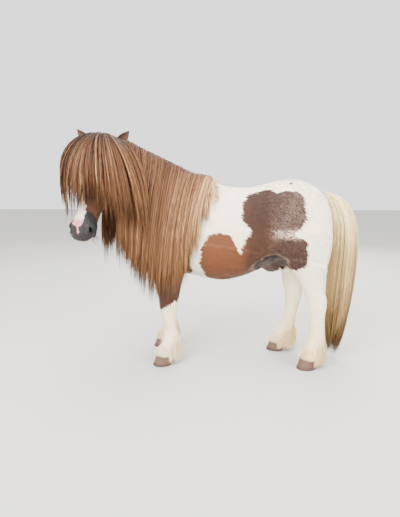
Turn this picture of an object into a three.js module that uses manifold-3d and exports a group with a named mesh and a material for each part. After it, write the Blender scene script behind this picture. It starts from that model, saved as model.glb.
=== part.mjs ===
// A miniature shetland pony, life size, standing square with its head turned to its left.
// Millimetres, +Z up. The pony faces -X and its left side faces -Y. The floor is z = 0.
import * as THREE from "three";
import { mergeVertices } from "three/addons/utils/BufferGeometryUtils.js";
import Module from "manifold-3d";

const wasm = await Module();
wasm.setup();

// Driving dimensions
const GAP = 0.35; // left between two parts of the body at the cut that parts them
const CLEAR = 0.8; // left between one piece and another that lies against it
const FINISH = 0.3; // how far a surface may move as its slivers are merged away
const MIDDLE = [75, 82]; // moves the middle of the whole outline over the origin
const SIDES = { trunk: 20, neck: 16, skull: 16, limb: 12, ear: 10, tail: 14 };
const LEFT = -1;
const RIGHT = 1;

// The trunk: x, back line, belly line, half width, and how much wider it is above than below
const TRUNK = [
  [-404, 600, 530, 30, 0],
  [-394, 655, 475, 76, 0],
  [-366, 705, 430, 116, 0],
  [-310, 752, 405, 142, -0.1],
  [-240, 784, 392, 155, -0.2],
  [-180, 798, 381, 161, -0.26],
  [-129, 796, 369, 167, -0.24],
  [-87, 781, 362, 171, -0.17],
  [-44, 766, 359, 175, -0.1],
  [20, 758, 372, 177, -0.07],
  [84, 763, 397, 173, -0.06],
  [140, 777, 424, 168, -0.06],
  [200, 790, 446, 165, -0.07],
  [250, 791, 455, 164, -0.08],
  [292, 782, 462, 161, -0.1],
  [335, 760, 472, 151, -0.12],
  [365, 735, 486, 132, -0.1],
  [388, 698, 506, 102, 0],
  [402, 655, 532, 66, 0],
  [408, 620, 560, 30, 0],
];
const TRUNK_WAIST = 0.5; // how high the widest line runs, as a share of the depth

// The neck: a point on the crest, the point on the throat below it, and the half width
const NECK = [
  [-110, 0, 750, -300, 0, 440, 112],
  [-165, -5, 792, -372, -6, 520, 108],
  [-235, -20, 828, -412, -28, 612, 92],
  [-315, -56, 862, -436, -74, 690, 80],
  [-395, -110, 893, -468, -130, 752, 71],
  [-468, -164, 908, -508, -182, 800, 62],
];

// The head, in its own frame: distance from the poll, face line, jaw line, half width, taper
const HEAD = [
  [-34, -38, -62, 20, 0],
  [-24, -18, -82, 40, 0],
  [0, 0, -106, 58, 0.05],
  [38, 7, -128, 69, 0.08],
  [80, 10, -146, 77, 0.12],
  [118, 7, -152, 78, 0.14],
  [158, 1, -143, 69, 0.14],
  [198, -5, -122, 57, 0.12],
  [236, -8, -102, 47, 0.08],
  [272, -8, -90, 42, 0.02],
  [306, -4, -88, 44, -0.02],
  [334, -6, -88, 45, -0.02],
  [354, -14, -84, 39, 0],
  [366, -26, -72, 27, 0],
  [371, -38, -60, 12, 0],
];
const POLL = [-521, -196, 911]; // where the head's frame has its origin
const HEAD_YAW = 6; // degrees that the face looks past -Y, towards -X
const HEAD_DROP = 64; // degrees that the nose points below level
const HEAD_ROLL = 6; // degrees that the left ear is the lower

// Lumps that round the head out: distance from the poll, height, half width, and three radii
const HEAD_LUMPS = [
  [112, -92, 44, 58, 52, 30], // cheek
  [112, -24, 60, 26, 18, 18], // brow over the eye
  [322, -30, 32, 24, 18, 14], // wing of the nostril
  [346, -50, 20, 20, 22, 22], // upper lip
  [338, -82, 12, 22, 16, 22], // chin
];
const EYE = { along: 122, height: -38, out: 61, radius: 19, lid: 4, gape: [34, 19] };
const NOSTRIL = { along: 336, height: -28, out: 36, radii: [8, 12, 9] };
const MOUTH = { height: -60, slit: 2.4, from: 292, depth: 7 };

// An ear: distance up from its root, half width, half thickness
const EAR = [
  [-12, 17, 14],
  [12, 22, 16],
  [34, 25, 16],
  [58, 23, 13],
  [80, 14, 9],
  [96, 4, 3],
];
const EAR_CUP = [
  [14, 9, 7],
  [34, 18, 12],
  [58, 16, 11],
  [78, 8, 7],
  [88, 3, 3],
];
const EAR_ROOT = { along: -2, height: -26, out: 46 };
// Each ear's lean in degrees out from the head's own length, and how much longer it is
const EAR_SET = {
  left: { lean: 26, stretch: 1.04 },
  right: { lean: 46, stretch: 1.14 },
};
const EAR_WALL = 8; // how far the cup is set forward in the ear

// The limbs: height, reach ahead, reach behind, half width
const FORE_LIMB = [
  [705, 30, 30, 20],
  [660, 72, 68, 42],
  [600, 96, 90, 52],
  [530, 108, 98, 57],
  [465, 100, 92, 55],
  [410, 76, 72, 48],
  [370, 62, 60, 43],
  [325, 53, 50, 39],
  [285, 44, 43, 36],
  [257, 42, 41, 36],
  [228, 36, 34, 32],
  [190, 29, 28, 27],
  [155, 28, 28, 27],
  [124, 33, 37, 31],
  [100, 37, 40, 34],
  [74, 35, 32, 32],
  [54, 36, 33, 34],
];
const HIND_LIMB = [
  [722, 35, 35, 24],
  [690, 80, 75, 45],
  [640, 110, 106, 60],
  [570, 120, 116, 68],
  [510, 114, 112, 66],
  [460, 98, 98, 58],
  [415, 72, 70, 50],
  [372, 50, 50, 42],
  [335, 42, 43, 36],
  [305, 42, 44, 34],
  [280, 38, 42, 33],
  [250, 34, 36, 31],
  [215, 31, 31, 28],
  [170, 30, 30, 27],
  [130, 34, 37, 31],
  [102, 39, 40, 34],
  [74, 36, 33, 33],
  [54, 37, 34, 34],
];

// Where each limb stands: height, x and y of its middle line, and the turn of its foot
const LIMBS = {
  front_left: {
    sizes: FORE_LIMB,
    toeOut: 34,
    path: [
      [705, -262, -66],
      [600, -284, -92],
      [500, -292, -98],
      [410, -281, -95],
      [325, -277, -94],
      [257, -278, -93],
      [190, -275, -93],
      [124, -270, -93],
      [100, -272, -95],
      [40, -297, -110],
    ],
  },
  front_right: {
    sizes: FORE_LIMB,
    toeOut: -14,
    path: [
      [705, -264, 66],
      [600, -288, 92],
      [500, -298, 98],
      [410, -292, 95],
      [325, -294, 93],
      [257, -300, 92],
      [190, -301, 92],
      [124, -300, 92],
      [100, -303, 92],
      [40, -330, 98],
    ],
  },
  hind_left: {
    sizes: HIND_LIMB,
    toeOut: 26,
    path: [
      [722, 300, -70],
      [640, 285, -94],
      [570, 281, -99],
      [510, 283, -99],
      [460, 290, -98],
      [415, 306, -97],
      [372, 320, -95],
      [335, 327, -94],
      [305, 340, -94],
      [250, 348, -94],
      [170, 350, -94],
      [102, 343, -96],
      [40, 318, -108],
    ],
  },
  hind_right: {
    sizes: HIND_LIMB,
    toeOut: -8,
    path: [
      [722, 298, 70],
      [640, 278, 94],
      [570, 268, 99],
      [510, 262, 99],
      [460, 257, 97],
      [415, 259, 94],
      [372, 263, 90],
      [335, 266, 88],
      [305, 272, 86],
      [250, 274, 85],
      [170, 262, 85],
      [102, 240, 86],
      [40, 210, 90],
    ],
  },
};
const CORONET = { height: 40, slope: 0.2, ahead: 34, behind: 30, half: 33 };
const HOOF = [
  [0, 44, 33, 36, 7],
  [4, 46, 34, 38, 7],
];

// Levels and planes at which the whole body is parted
const LEG_TOP = { front: 366, hind: 402 };
const NECK_ROOT = { at: [-262, -30, 700], across: [0.84, 0.22, -0.5] };
const HEAD_ROOT = { at: [-484, -172, 862], across: [0.42, 0.86, 0.3] };

// The sheath under the groin
const SHEATH = { at: [196, 0, 444], radii: [62, 26, 30] };

// The dock and the tail hair: height, x of the front and back, half width
const DOCK = [
  [372, 752, 16],
  [392, 742, 20],
  [416, 722, 19],
  [436, 690, 17],
  [446, 640, 15],
  [448, 590, 12],
  [446, 560, 6],
];
const TAIL = [
  [734, 396, 432, 16],
  [726, 392, 452, 30],
  [700, 400, 474, 44],
  [662, 408, 494, 56],
  [611, 420, 513, 64],
  [534, 418, 522, 70],
  [448, 408, 523, 72],
  [359, 402, 523, 70],
  [292, 402, 519, 66],
  [230, 406, 506, 60],
  [155, 412, 490, 48],
  [85, 418, 474, 34],
  [32, 424, 460, 20],
  [16, 436, 450, 6],
];

const TAIL_CORE = 0.66; // how much of the tail's width is one dense mass

// The feather: height of its roots and tips, reach behind and beside the foot, and its spread
const FEATHER = { root: 138, sunk: 16, foot: 10, behind: 74, beside: 50, spread: 112 };

// The crest that the mane grows from, from behind the ears to the withers
const CREST = [
  [-466, -163, 908],
  [-395, -110, 893],
  [-315, -56, 864],
  [-235, -20, 832],
  [-165, -5, 800],
  [-128, 0, 786],
];
// How the mane hangs: how high it rises off the crest at its front and its back end, and its
// tips as a share along the crest, x, y, z
const MANE_LEFT = {
  side: LEFT,
  lift: [52, 18],
  tips: [
    [0, -405, -262, 470],
    [0.2, -374, -250, 400],
    [0.4, -330, -232, 352],
    [0.6, -278, -214, 330],
    [0.78, -230, -200, 342],
    [0.9, -190, -190, 400],
    [1, -158, -178, 520],
  ],
};
const MANE_RIGHT = {
  side: RIGHT,
  lift: [48, 18],
  tips: [
    [0, -506, -40, 560],
    [0.2, -486, 42, 500],
    [0.4, -440, 100, 450],
    [0.6, -350, 168, 420],
    [0.8, -260, 182, 440],
    [1, -165, 172, 560],
  ],
};
const MANE_THICK = 30;

// The locks of each mass of hair: how many, how deep in the coat the layers lie, the width and
// thickness of one, how far its tip strays and the first number of its random order
const LOCKS = {
  mane_left: { count: 30, depths: [0, 0.5], width: 34, thick: 9, stray: 34, start: 0, seed: 7 },
  mane_right: { count: 18, depths: [0, 0.5], width: 44, thick: 10, stray: 40, start: 0, seed: 21 },
  forelock: { count: 24, depths: [0, 0.5], width: 54, thick: 9, stray: 38, start: 1, seed: 33 },
  tail: { count: 20, depths: [0, 0.35], width: 38, thick: 14, stray: 130, seed: 52 },
  feather: { count: 7, depths: [0], width: 40, thick: 12, stray: 14, seed: 68 },
};
const CORE_REACH = 0.46; // how far down towards its tips the hair is one dense mass
const LOCK_STEPS = 5;
const SKIN_REACH = 400; // how far out the search for the skin under a lock begins
const COAT_MARGIN = { core: 15, outer: 25, inner: -10 }; // how far the hair lies off the skin

// The forelock: bearing round the poll in degrees, reach of the tips and their height
const FORELOCK = [
  [-100, 158, 800],
  [-80, 184, 760],
  [-55, 192, 726],
  [-25, 178, 706],
  [0, 164, 712],
  [22, 160, 690],
  [45, 166, 652],
  [68, 178, 612],
  [92, 176, 590],
];
const FORELOCK_ROOT = [-500, -196, 970];
const FORELOCK_THICK = 24;
const FORELOCK_FOOT = 560; // below this the mane may hang under the forelock
// The vertical planes that part the forelock from the mane: a point, and a direction back
const HAIR_PARTS = {
  left: { at: [-458, -176, 600], across: [0.62, 0.784, 0] },
  right: { at: [-480, -168, 600], across: [-0.1, 0.995, 0] },
};

const vec = (values) => new THREE.Vector3(...values);
const radians = THREE.MathUtils.degToRad;
const lerp = THREE.MathUtils.lerp;
const UP = vec([0, 0, 1]);

// A value on the smooth curve through four numbers, between the second and the third.
function smooth(a, b, c, d, t) {
  const slopeB = (c - a) / 2;
  const slopeC = (d - b) / 2;
  return (
    b +
    t * (slopeB + t * (3 * (c - b) - 2 * slopeB - slopeC + t * (2 * (b - c) + slopeB + slopeC)))
  );
}

// The rest of a row at one value of its first column, for a table in rising or falling order.
function lookUp(rows, value) {
  const rising = rows.at(-1)[0] > rows[0][0];
  const past = rows.findIndex((r) => (rising ? r[0] >= value : r[0] <= value));
  const k = Math.max(past < 0 ? rows.length - 1 : past, 1);
  const t = THREE.MathUtils.clamp((value - rows[k - 1][0]) / (rows[k][0] - rows[k - 1][0]), 0, 1);
  const row = (n) => rows[Math.min(Math.max(n, 0), rows.length - 1)];
  return rows[k]
    .slice(1)
    .map((_, i) => smooth(row(k - 2)[i + 1], row(k - 1)[i + 1], row(k)[i + 1], row(k + 1)[i + 1], t));
}

// A closed ring of points: a rounded section with its own half width, rise and drop.
function section({ at, right, up, half, rise, drop, power = 2.2, taper = 0 }, sides) {
  return Array.from({ length: sides }, (_, i) => {
    const turn = (2 * Math.PI * i) / sides;
    const across = Math.sign(Math.cos(turn)) * Math.abs(Math.cos(turn)) ** (2 / power);
    const over = Math.sign(Math.sin(turn)) * Math.abs(Math.sin(turn)) ** (2 / power);
    return at
      .clone()
      .addScaledVector(right, across * half * (1 + taper * over))
      .addScaledVector(up, over * (over > 0 ? rise : drop));
  });
}

// A closed solid from a geometry, with its faces turned outwards.
function solidOf(geometry) {
  const plain = geometry.clone();
  plain.deleteAttribute("normal");
  plain.deleteAttribute("uv");
  const merged = mergeVertices(plain, 1e-3);
  const make = (triVerts) =>
    new wasm.Manifold(
      new wasm.Mesh({ numProp: 3, vertProperties: merged.attributes.position.array, triVerts }),
    );
  const triVerts = new Uint32Array(merged.index.array);
  const made = make(triVerts);
  return made.volume() >= 0 ? made : make(triVerts.reverse());
}

// A geometry from points and the corners of its triangles.
function surface(points, corners) {
  const geometry = new THREE.BufferGeometry().setFromPoints(points);
  return geometry.setIndex(corners);
}

// A solid skinned over rings of equal length, with its two ends closed, the last to a point
// where one is given.
function loft(rings, tip) {
  const sides = rings[0].length;
  const points = rings.flat();
  const corners = [];
  for (let k = 0; k < rings.length - 1; k++)
    for (let i = 0; i < sides; i++) {
      const a = k * sides + i;
      const b = k * sides + ((i + 1) % sides);
      corners.push(a, b, b + sides, a, b + sides, a + sides);
    }
  const last = (rings.length - 1) * sides;
  for (const [start, turned] of [[0, true], [last, false]]) {
    const ring = rings[start / sides];
    const middle = ring.reduce((sum, p) => sum.add(p), vec([0, 0, 0])).divideScalar(sides);
    points.push(start === last && tip ? tip : middle);
    for (let i = 0; i < sides; i++) {
      const pair = [start + i, start + ((i + 1) % sides)];
      corners.push(points.length - 1, ...(turned ? pair.reverse() : pair));
    }
  }
  return solidOf(surface(points, corners));
}

// A solid between two grids of points, such as the outer and the inner face of a sheet.
function slab(outer, inner) {
  const rows = outer.length;
  const columns = outer[0].length;
  const points = [...outer.flat(), ...inner.flat()];
  const under = rows * columns;
  const corners = [];
  const quad = (a, b, c, d) => corners.push(a, b, c, a, c, d);
  for (let r = 0; r < rows - 1; r++)
    for (let c = 0; c < columns - 1; c++) {
      const a = r * columns + c;
      quad(a, a + 1, a + columns + 1, a + columns);
      quad(under + a + columns, under + a + columns + 1, under + a + 1, under + a);
    }
  for (let c = 0; c < columns - 1; c++) {
    const end = (rows - 1) * columns + c;
    quad(under + c, under + c + 1, c + 1, c);
    quad(end, end + 1, under + end + 1, under + end);
  }
  for (let r = 0; r < rows - 1; r++) {
    const a = r * columns;
    const b = a + columns - 1;
    quad(a, a + columns, under + a + columns, under + a);
    quad(under + b, under + b + columns, b + columns, b);
  }
  return solidOf(surface(points, corners));
}

const join = (solids) => solids.reduce((a, b) => a.add(b));
const largest = (solid) =>
  solid.decompose().reduce((a, b) => (a.volume() > b.volume() ? a : b));

// An ellipsoid with its radii along three given directions.
function lump(at, axes, radii, across = 12, around = 8) {
  const frame = new THREE.Matrix4()
    .makeBasis(...axes)
    .setPosition(at)
    .multiply(new THREE.Matrix4().makeScale(...radii));
  return solidOf(new THREE.SphereGeometry(1, across, around).applyMatrix4(frame));
}

// A box with one face on a plane and the rest of it on the side that the direction points to.
function halfSpace(at, towards, size = 900) {
  const turn = new THREE.Quaternion().setFromUnitVectors(UP, towards.clone().normalize());
  const box = new THREE.BoxGeometry(size, size, size).translate(0, 0, size / 2);
  return solidOf(box.applyQuaternion(turn).translate(at.x, at.y, at.z));
}

// An upright box between two corners.
function block(low, high) {
  const size = high.map((h, i) => h - low[i]);
  const box = new THREE.BoxGeometry(...size);
  return solidOf(box.translate(...low.map((l, i) => l + size[i] / 2)));
}

// The head's frame: towards the nose, out of the face, and towards the left cheek.
function headFrame() {
  const yaw = radians(HEAD_YAW);
  const drop = radians(HEAD_DROP);
  const ahead = vec([-Math.sin(yaw), -Math.cos(yaw), 0]);
  const nose = ahead.clone().multiplyScalar(Math.cos(drop)).addScaledVector(UP, -Math.sin(drop));
  const face = ahead.clone().multiplyScalar(Math.sin(drop)).addScaledVector(UP, Math.cos(drop));
  const left = UP.clone().cross(ahead);
  const turnAxis = ahead.clone();
  for (const axis of [nose, face, left]) axis.applyAxisAngle(turnAxis, radians(-HEAD_ROLL));
  return { nose, face, left, ahead };
}
const head = headFrame();
const onHead = (along, height, out) =>
  vec(POLL)
    .addScaledVector(head.nose, along)
    .addScaledVector(head.face, height)
    .addScaledVector(head.left, out);

// Each part of the flesh, grown all round by `grow` where a neighbour is cut to clear it
function trunk(grow) {
  return loft(
    TRUNK.map(([x, back, belly, half, taper]) => {
      const waist = lerp(belly, back, TRUNK_WAIST);
      return section(
        {
          at: vec([x, 0, waist]),
          right: vec([0, 1, 0]),
          up: UP,
          half: half + grow,
          rise: back - waist + grow,
          drop: waist - belly + grow,
          taper,
        },
        SIDES.trunk,
      );
    }),
  );
}

function neck(grow) {
  const middles = NECK.map((r) => vec(r).add(vec(r.slice(3))).divideScalar(2));
  return loft(
    NECK.map((r, k) => {
      const crest = vec(r);
      const throat = vec(r.slice(3));
      const along = middles[Math.min(k + 1, NECK.length - 1)]
        .clone()
        .sub(middles[Math.max(k - 1, 0)]);
      const up = crest.clone().sub(throat).normalize();
      const reach = crest.distanceTo(throat) / 2 + grow;
      return section(
        {
          at: middles[k],
          right: up.clone().cross(along).normalize(),
          up,
          half: r[6] + grow,
          rise: reach,
          drop: reach,
          power: 2,
          taper: -0.18,
        },
        SIDES.neck,
      );
    }),
  );
}

function skull(grow) {
  return loft(
    HEAD.map(([along, face, jaw, half, taper]) => {
      const waist = (face + jaw) / 2;
      return section(
        {
          at: onHead(along, waist, 0),
          right: head.left,
          up: head.face,
          half: half + grow,
          rise: face - waist + grow,
          drop: waist - jaw + grow,
          power: 2.3,
          taper,
        },
        SIDES.skull,
      );
    }),
  );
}

// The rounded forms of the head, on both of its sides.
function headLumps(grow) {
  const axes = [head.nose, head.face, head.left];
  const lids = [EYE.along, EYE.height, EYE.out, ...Array(3).fill(EYE.radius + EYE.lid)];
  return [...HEAD_LUMPS, lids].flatMap(([along, height, out, ...radii]) =>
    [LEFT, RIGHT].map((side) =>
      lump(onHead(along, height, -side * out), axes, radii.map((r) => r + grow), 8, 6),
    ),
  );
}

// The places along a limb's middle line and the rings round it.
function limbRings({ sizes, path, toeOut }, grow) {
  const rings = sizes.map(([z, ahead, behind, half]) => {
    const [x, y] = lookUp(path, z);
    const turned = radians(toeOut) * THREE.MathUtils.smoothstep(-z, -190, -60);
    const forward = vec([-Math.cos(turned), -Math.sin(turned), 0]);
    return section(
      {
        at: vec([x, y, z]),
        right: forward.clone().cross(UP),
        up: forward,
        half: half + grow,
        rise: ahead + grow,
        drop: behind + grow,
      },
      SIDES.limb,
    );
  });
  return rings;
}

// The foot's place, and the directions towards its toe and its side.
function footOf({ path, toeOut }) {
  const [, x, y] = path.at(-1);
  const turned = radians(toeOut);
  const toe = vec([-Math.cos(turned), -Math.sin(turned), 0]);
  return { x, y, toe, side: toe.clone().cross(UP) };
}

function coronetRing(limb, height, grow) {
  const { x, y, toe, side } = footOf(limb);
  return section(
    {
      at: vec([x, y, height]),
      right: side,
      up: toe.clone().addScaledVector(UP, CORONET.slope),
      half: CORONET.half + grow,
      rise: CORONET.ahead + grow,
      drop: CORONET.behind + grow,
    },
    SIDES.limb,
  );
}

function limb(name, grow) {
  const from = LIMBS[name];
  return loft([...limbRings(from, grow), coronetRing(from, CORONET.height + CLEAR, grow)]);
}

function hoof(name, grow) {
  const { x, y, toe, side } = footOf(LIMBS[name]);
  const rings = HOOF.map(([z, ahead, behind, half, shift]) =>
    section(
      {
        at: vec([x, y, z - grow * (z === 0)]).addScaledVector(toe, shift),
        right: side,
        up: toe,
        half: half + grow,
        rise: ahead + grow,
        drop: behind + grow,
      },
      SIDES.limb,
    ),
  );
  return loft([...rings, coronetRing(LIMBS[name], CORONET.height + grow, grow)]);
}

// The cheeks, lids, nostrils and mouth, cut and raised in the head.
function faceForms(solid) {
  const axes = [head.nose, head.face, head.left];
  let made = solid;
  for (const side of [LEFT, RIGHT]) {
    const eye = onHead(EYE.along, EYE.height, -side * EYE.out);
    const outward = head.left.clone().multiplyScalar(-side);
    const opening = lump(
      eye.clone().addScaledVector(outward, EYE.radius + EYE.lid),
      axes,
      [EYE.gape[0] / 2, EYE.gape[1] / 2, EYE.radius],
      10,
      6,
    );
    made = made.subtract(opening);
    made = made.subtract(lump(eye, axes, Array(3).fill(EYE.radius + CLEAR), 12, 8));
    const nostril = onHead(NOSTRIL.along, NOSTRIL.height, -side * NOSTRIL.out);
    made = made.subtract(lump(nostril, axes, NOSTRIL.radii, 8, 6));
  }
  return made.subtract(mouthSlit());
}

// The thin band that parts the lips round the front of the muzzle.
function mouthSlit() {
  const rim = (grow, height) =>
    HEAD.filter(([along]) => along >= MOUTH.from - 20).map(([along, , , half]) => [
      along + grow,
      half + grow,
      height,
    ]);
  const grid = (grow, height) => {
    const rows = rim(grow, height);
    const right = rows.map(([along, out, h]) => onHead(along, h, -out));
    const left = rows.map(([along, out, h]) => onHead(along, h, out)).reverse();
    return [...right, ...left];
  };
  const level = (height) => [grid(20, height), grid(-MOUTH.depth, height)];
  return slab(level(MOUTH.height + MOUTH.slit / 2), level(MOUTH.height - MOUTH.slit / 2));
}

function eyeball(side) {
  const axes = [head.nose, head.face, head.left];
  const at = onHead(EYE.along, EYE.height, -side * EYE.out);
  return lump(at, axes, Array(3).fill(EYE.radius), 12, 8);
}

// An ear: a leaf with its cup cut into the front of it.
function ear(name, grow) {
  const side = name === "left" ? LEFT : RIGHT;
  const { stretch } = EAR_SET[name];
  const lean = radians(EAR_SET[name].lean);
  const outward = head.left.clone().multiplyScalar(-side);
  const rise = head.nose
    .clone()
    .multiplyScalar(-Math.cos(lean))
    .addScaledVector(outward, Math.sin(lean));
  const front = head.face.clone().multiplyScalar(0.86).addScaledVector(outward, 0.5);
  front.addScaledVector(rise, -front.dot(rise)).normalize();
  const across = rise.clone().cross(front);
  const root = onHead(EAR_ROOT.along, EAR_ROOT.height, -side * EAR_ROOT.out);
  const leaf = (rows, forward, more) =>
    loft(
      rows.map(([far, half, thick]) =>
        section(
          {
            at: root.clone().addScaledVector(rise, far * stretch).addScaledVector(front, forward),
            right: across,
            up: front,
            half: half + more,
            rise: thick + more,
            drop: thick + more,
            power: 2,
          },
          SIDES.ear,
        ),
      ),
    );
  const whole = leaf(EAR, 0, grow);
  return grow > 0 ? whole : whole.subtract(leaf(EAR_CUP, EAR_WALL, 0));
}

function sheath() {
  return lump(vec(SHEATH.at), [vec([1, 0, 0]), vec([0, 1, 0]), UP], SHEATH.radii, 12, 8);
}

// Every piece of flesh that hair and horn are cut to clear
function flesh(grow) {
  return join([
    trunk(grow),
    neck(grow),
    skull(grow),
    ...headLumps(grow),
    ...Object.keys(LIMBS).map((name) => limb(name, grow)),
    sheath(),
  ]);
}

// The parts of the body, cut from the whole along thin gaps
function bodyParts(whole) {
  const cut = (half) => {
    const boxes = {
      front_left: block([-480, -260, -5], [-165, 0, LEG_TOP.front + half]),
      front_right: block([-480, 0, -5], [-165, 260, LEG_TOP.front + half]),
      hind_left: block([120, -260, -5], [480, 0, LEG_TOP.hind + half]),
      hind_right: block([120, 0, -5], [480, 260, LEG_TOP.hind + half]),
    };
    return boxes;
  };
  const across = (plane, shift, side) => {
    const direction = vec(plane.across).normalize();
    const at = vec(plane.at).addScaledVector(direction, shift);
    return halfSpace(at, direction.multiplyScalar(side));
  };
  const legs = cut(-GAP / 2);
  const clear = cut(GAP / 2);
  const upper = whole.subtract(join(Object.values(clear)));
  const afterNeck = upper.subtract(across(NECK_ROOT, GAP / 2, -1));
  const front = upper.subtract(across(NECK_ROOT, -GAP / 2, 1));
  return {
    torso: largest(afterNeck),
    neck: largest(front.subtract(across(HEAD_ROOT, GAP / 2, -1))),
    head: largest(front.subtract(across(HEAD_ROOT, -GAP / 2, 1))),
    ...Object.fromEntries(
      Object.entries(legs).map(([name, box]) => ["leg_" + name, largest(whole.intersect(box))]),
    ),
  };
}

// Numbers between 0 and 1 in a set order, so that the hair is the same each time.
function randomFrom(seed) {
  let state = seed;
  return () => {
    state = (state * 1664525 + 1013904223) % 4294967296;
    return state / 4294967296;
  };
}

// One flat, tapering lock of hair along a line of points, which faces the way of `out`.
function lock(line, out, { width, thick }) {
  const last = line.length - 1;
  const rings = line.slice(0, last).map((point, k) => {
    const along = line[k + 1].clone().sub(line[Math.max(k - 1, 0)]).normalize();
    const across = along.clone().cross(out).normalize();
    const over = across.clone().cross(along);
    const share = k / last;
    const half = (width / 2) * Math.min(1, 0.5 + 1.4 * share) * (1 - 0.6 * share ** 2);
    const deep = (thick / 2) * (1 - 0.45 * share);
    return [[half, -deep / 2], [0, deep], [-half, -deep / 2]].map(([w, d]) =>
      point.clone().addScaledVector(across, w).addScaledVector(over, d),
    );
  });
  return loft(rings, line[last]);
}

// A way of keeping hair on the outside of the flesh: it moves a point along `out` until the
// point stands so far off the skin.
function skinOf(solid) {
  const { vertProperties, triVerts } = solid.getMesh();
  const position = new THREE.BufferAttribute(vertProperties, 3);
  const geometry = new THREE.BufferGeometry().setAttribute("position", position);
  geometry.setIndex(new THREE.BufferAttribute(triVerts, 1));
  const body = new THREE.Mesh(geometry, new THREE.MeshBasicMaterial({ side: THREE.DoubleSide }));
  const ray = new THREE.Raycaster();
  return (point, out, margin) => {
    const start = point.clone().addScaledVector(out, SKIN_REACH);
    ray.set(start, out.clone().negate());
    const hit = ray.intersectObject(body)[0];
    const short = hit ? SKIN_REACH - hit.distance + margin : 0;
    return short > 0 ? point.clone().addScaledVector(out, short) : point;
  };
}

// The way of one lock of the mane, from the crest down to its tip, so deep in the coat.
function maneWay(mane, share, depth, steps) {
  const crest = new THREE.CatmullRomCurve3(CREST.map(vec));
  const root = crest.getPoint(share);
  const along = crest.getTangent(share).negate();
  const out = UP.clone().cross(along).setZ(0).normalize().multiplyScalar(-mane.side);
  const tip = vec(lookUp(mane.tips, share));
  const way = new THREE.CubicBezierCurve3(
    root.clone().addScaledVector(UP, lerp(...mane.lift, share) * (1 - depth) - 6 * depth),
    root.clone().addScaledVector(out, 78 - 30 * depth).addScaledVector(UP, 24 - 40 * depth),
    tip.clone().setZ(lerp(root.z, tip.z, 0.42)).addScaledVector(out, -20 * depth),
    tip.clone().addScaledVector(out, -MANE_THICK * depth),
  );
  return { points: way.getPoints(steps), out };
}

// A dense mass of hair between two depths of its ways, held off the skin.
function hairCore(wayAt, places, outside, reach = CORE_REACH, steps = 6) {
  const grid = (depth) =>
    places.map((place) => {
      const { points, out } = wayAt(place, depth, Math.round(steps / reach));
      const margin = depth < 0.5 ? COAT_MARGIN.core : -COAT_MARGIN.core;
      return points.slice(0, steps + 1).map((p, k) => (k > 1 ? outside(p, out, margin) : p));
    });
  return slab(grid(0.3), grid(1));
}

// The locks of one mass of hair, spread over its whole width and its layers.
function hairLocks(sizes, wayAt, [first, last], outside) {
  const random = randomFrom(sizes.seed);
  const layers = sizes.depths.length;
  return Array.from({ length: sizes.count }, (_, i) => {
    const spread = (i + 0.5 + 0.5 * (random() - 0.5)) / sizes.count;
    const depth = sizes.depths[i % layers];
    const { points, out } = wayAt(lerp(first, last, spread), depth, LOCK_STEPS);
    const under = wayAt(lerp(first, last, spread), 1, LOCK_STEPS).points;
    const start = i % 4 === 0 ? 0 : sizes.start;
    const drift = (random() - 0.5) * sizes.stray * 0.6;
    const shorter = random() ** 2 * sizes.stray;
    const across = UP.clone().cross(out);
    const line = points.map((p, k) => {
      const share = k / LOCK_STEPS;
      const moved = p
        .clone()
        .addScaledVector(across, drift * share ** 2)
        .addScaledVector(UP, shorter * share ** 2);
      const margin = lerp(COAT_MARGIN.outer, COAT_MARGIN.inner, depth);
      return k === start ? under[k] : k > 1 ? outside(moved, out, margin) : moved;
    });
    const width = sizes.width * (0.85 + 0.3 * random());
    return lock(line.slice(start), out, { width, thick: sizes.thick });
  });
}

const evenly = (first, last, count) =>
  Array.from({ length: count }, (_, k) => lerp(first, last, k / (count - 1)));

// The way of one lock of the forelock, from the poll over the brow to its tip.
function forelockWay(bearing, depth, steps) {
  const [reach, height] = lookUp(FORELOCK, bearing);
  const out = head.ahead.clone().applyAxisAngle(UP, radians(bearing));
  const root = vec(FORELOCK_ROOT).addScaledVector(UP, -FORELOCK_THICK * depth);
  const far = reach - FORELOCK_THICK * depth;
  const way = new THREE.CubicBezierCurve3(
    root.clone().addScaledVector(out, 8),
    root.clone().addScaledVector(out, far * 0.72),
    root.clone().addScaledVector(out, far).setZ(lerp(root.z, height, 0.35)),
    root.clone().addScaledVector(out, far * 0.98).setZ(height),
  );
  return { points: way.getPoints(steps), out };
}

// The room each mass of hair leaves to its neighbours, with a gap between them.
function forelockZones() {
  const { left, right } = HAIR_PARTS;
  const wall = (part, side, shift) => {
    const direction = vec(part.across).normalize();
    const at = vec(part.at).addScaledVector(direction, shift);
    return halfSpace(at, direction.multiplyScalar(side));
  };
  const low = halfSpace(vec([0, 0, FORELOCK_FOOT]), UP);
  return {
    behind: wall(left, 1, 0).add(wall(right, 1, 0)),
    ahead: wall(left, -1, CLEAR).intersect(wall(right, -1, CLEAR)).intersect(low),
    left: besideCrest(LEFT),
    right: besideCrest(RIGHT),
  };
}

// All the room on one side of an upright wall that follows the crest.
function besideCrest(side) {
  const crest = CREST.map(([x, y]) => [x, y - (side * CLEAR) / 2]);
  const line = [[-900, crest[0][1] - 400], ...crest, [500, crest.at(-1)[1]]];
  const shape = new THREE.Shape(
    [...line, [500, side * 900], [-900, side * 900]].map((p) => new THREE.Vector2(...p)),
  );
  return solidOf(new THREE.ExtrudeGeometry(shape, { depth: 1200, bevelEnabled: false }));
}

function dock(grow) {
  return loft(
    DOCK.map(([x, z, half]) =>
      section(
        {
          at: vec([x, 0, z]),
          right: vec([0, 1, 0]),
          up: vec([1, 0, 0.7]).normalize(),
          half: half + grow,
          rise: half + grow,
          drop: half + grow,
          power: 2,
        },
        10,
      ),
    ),
  );
}

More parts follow.
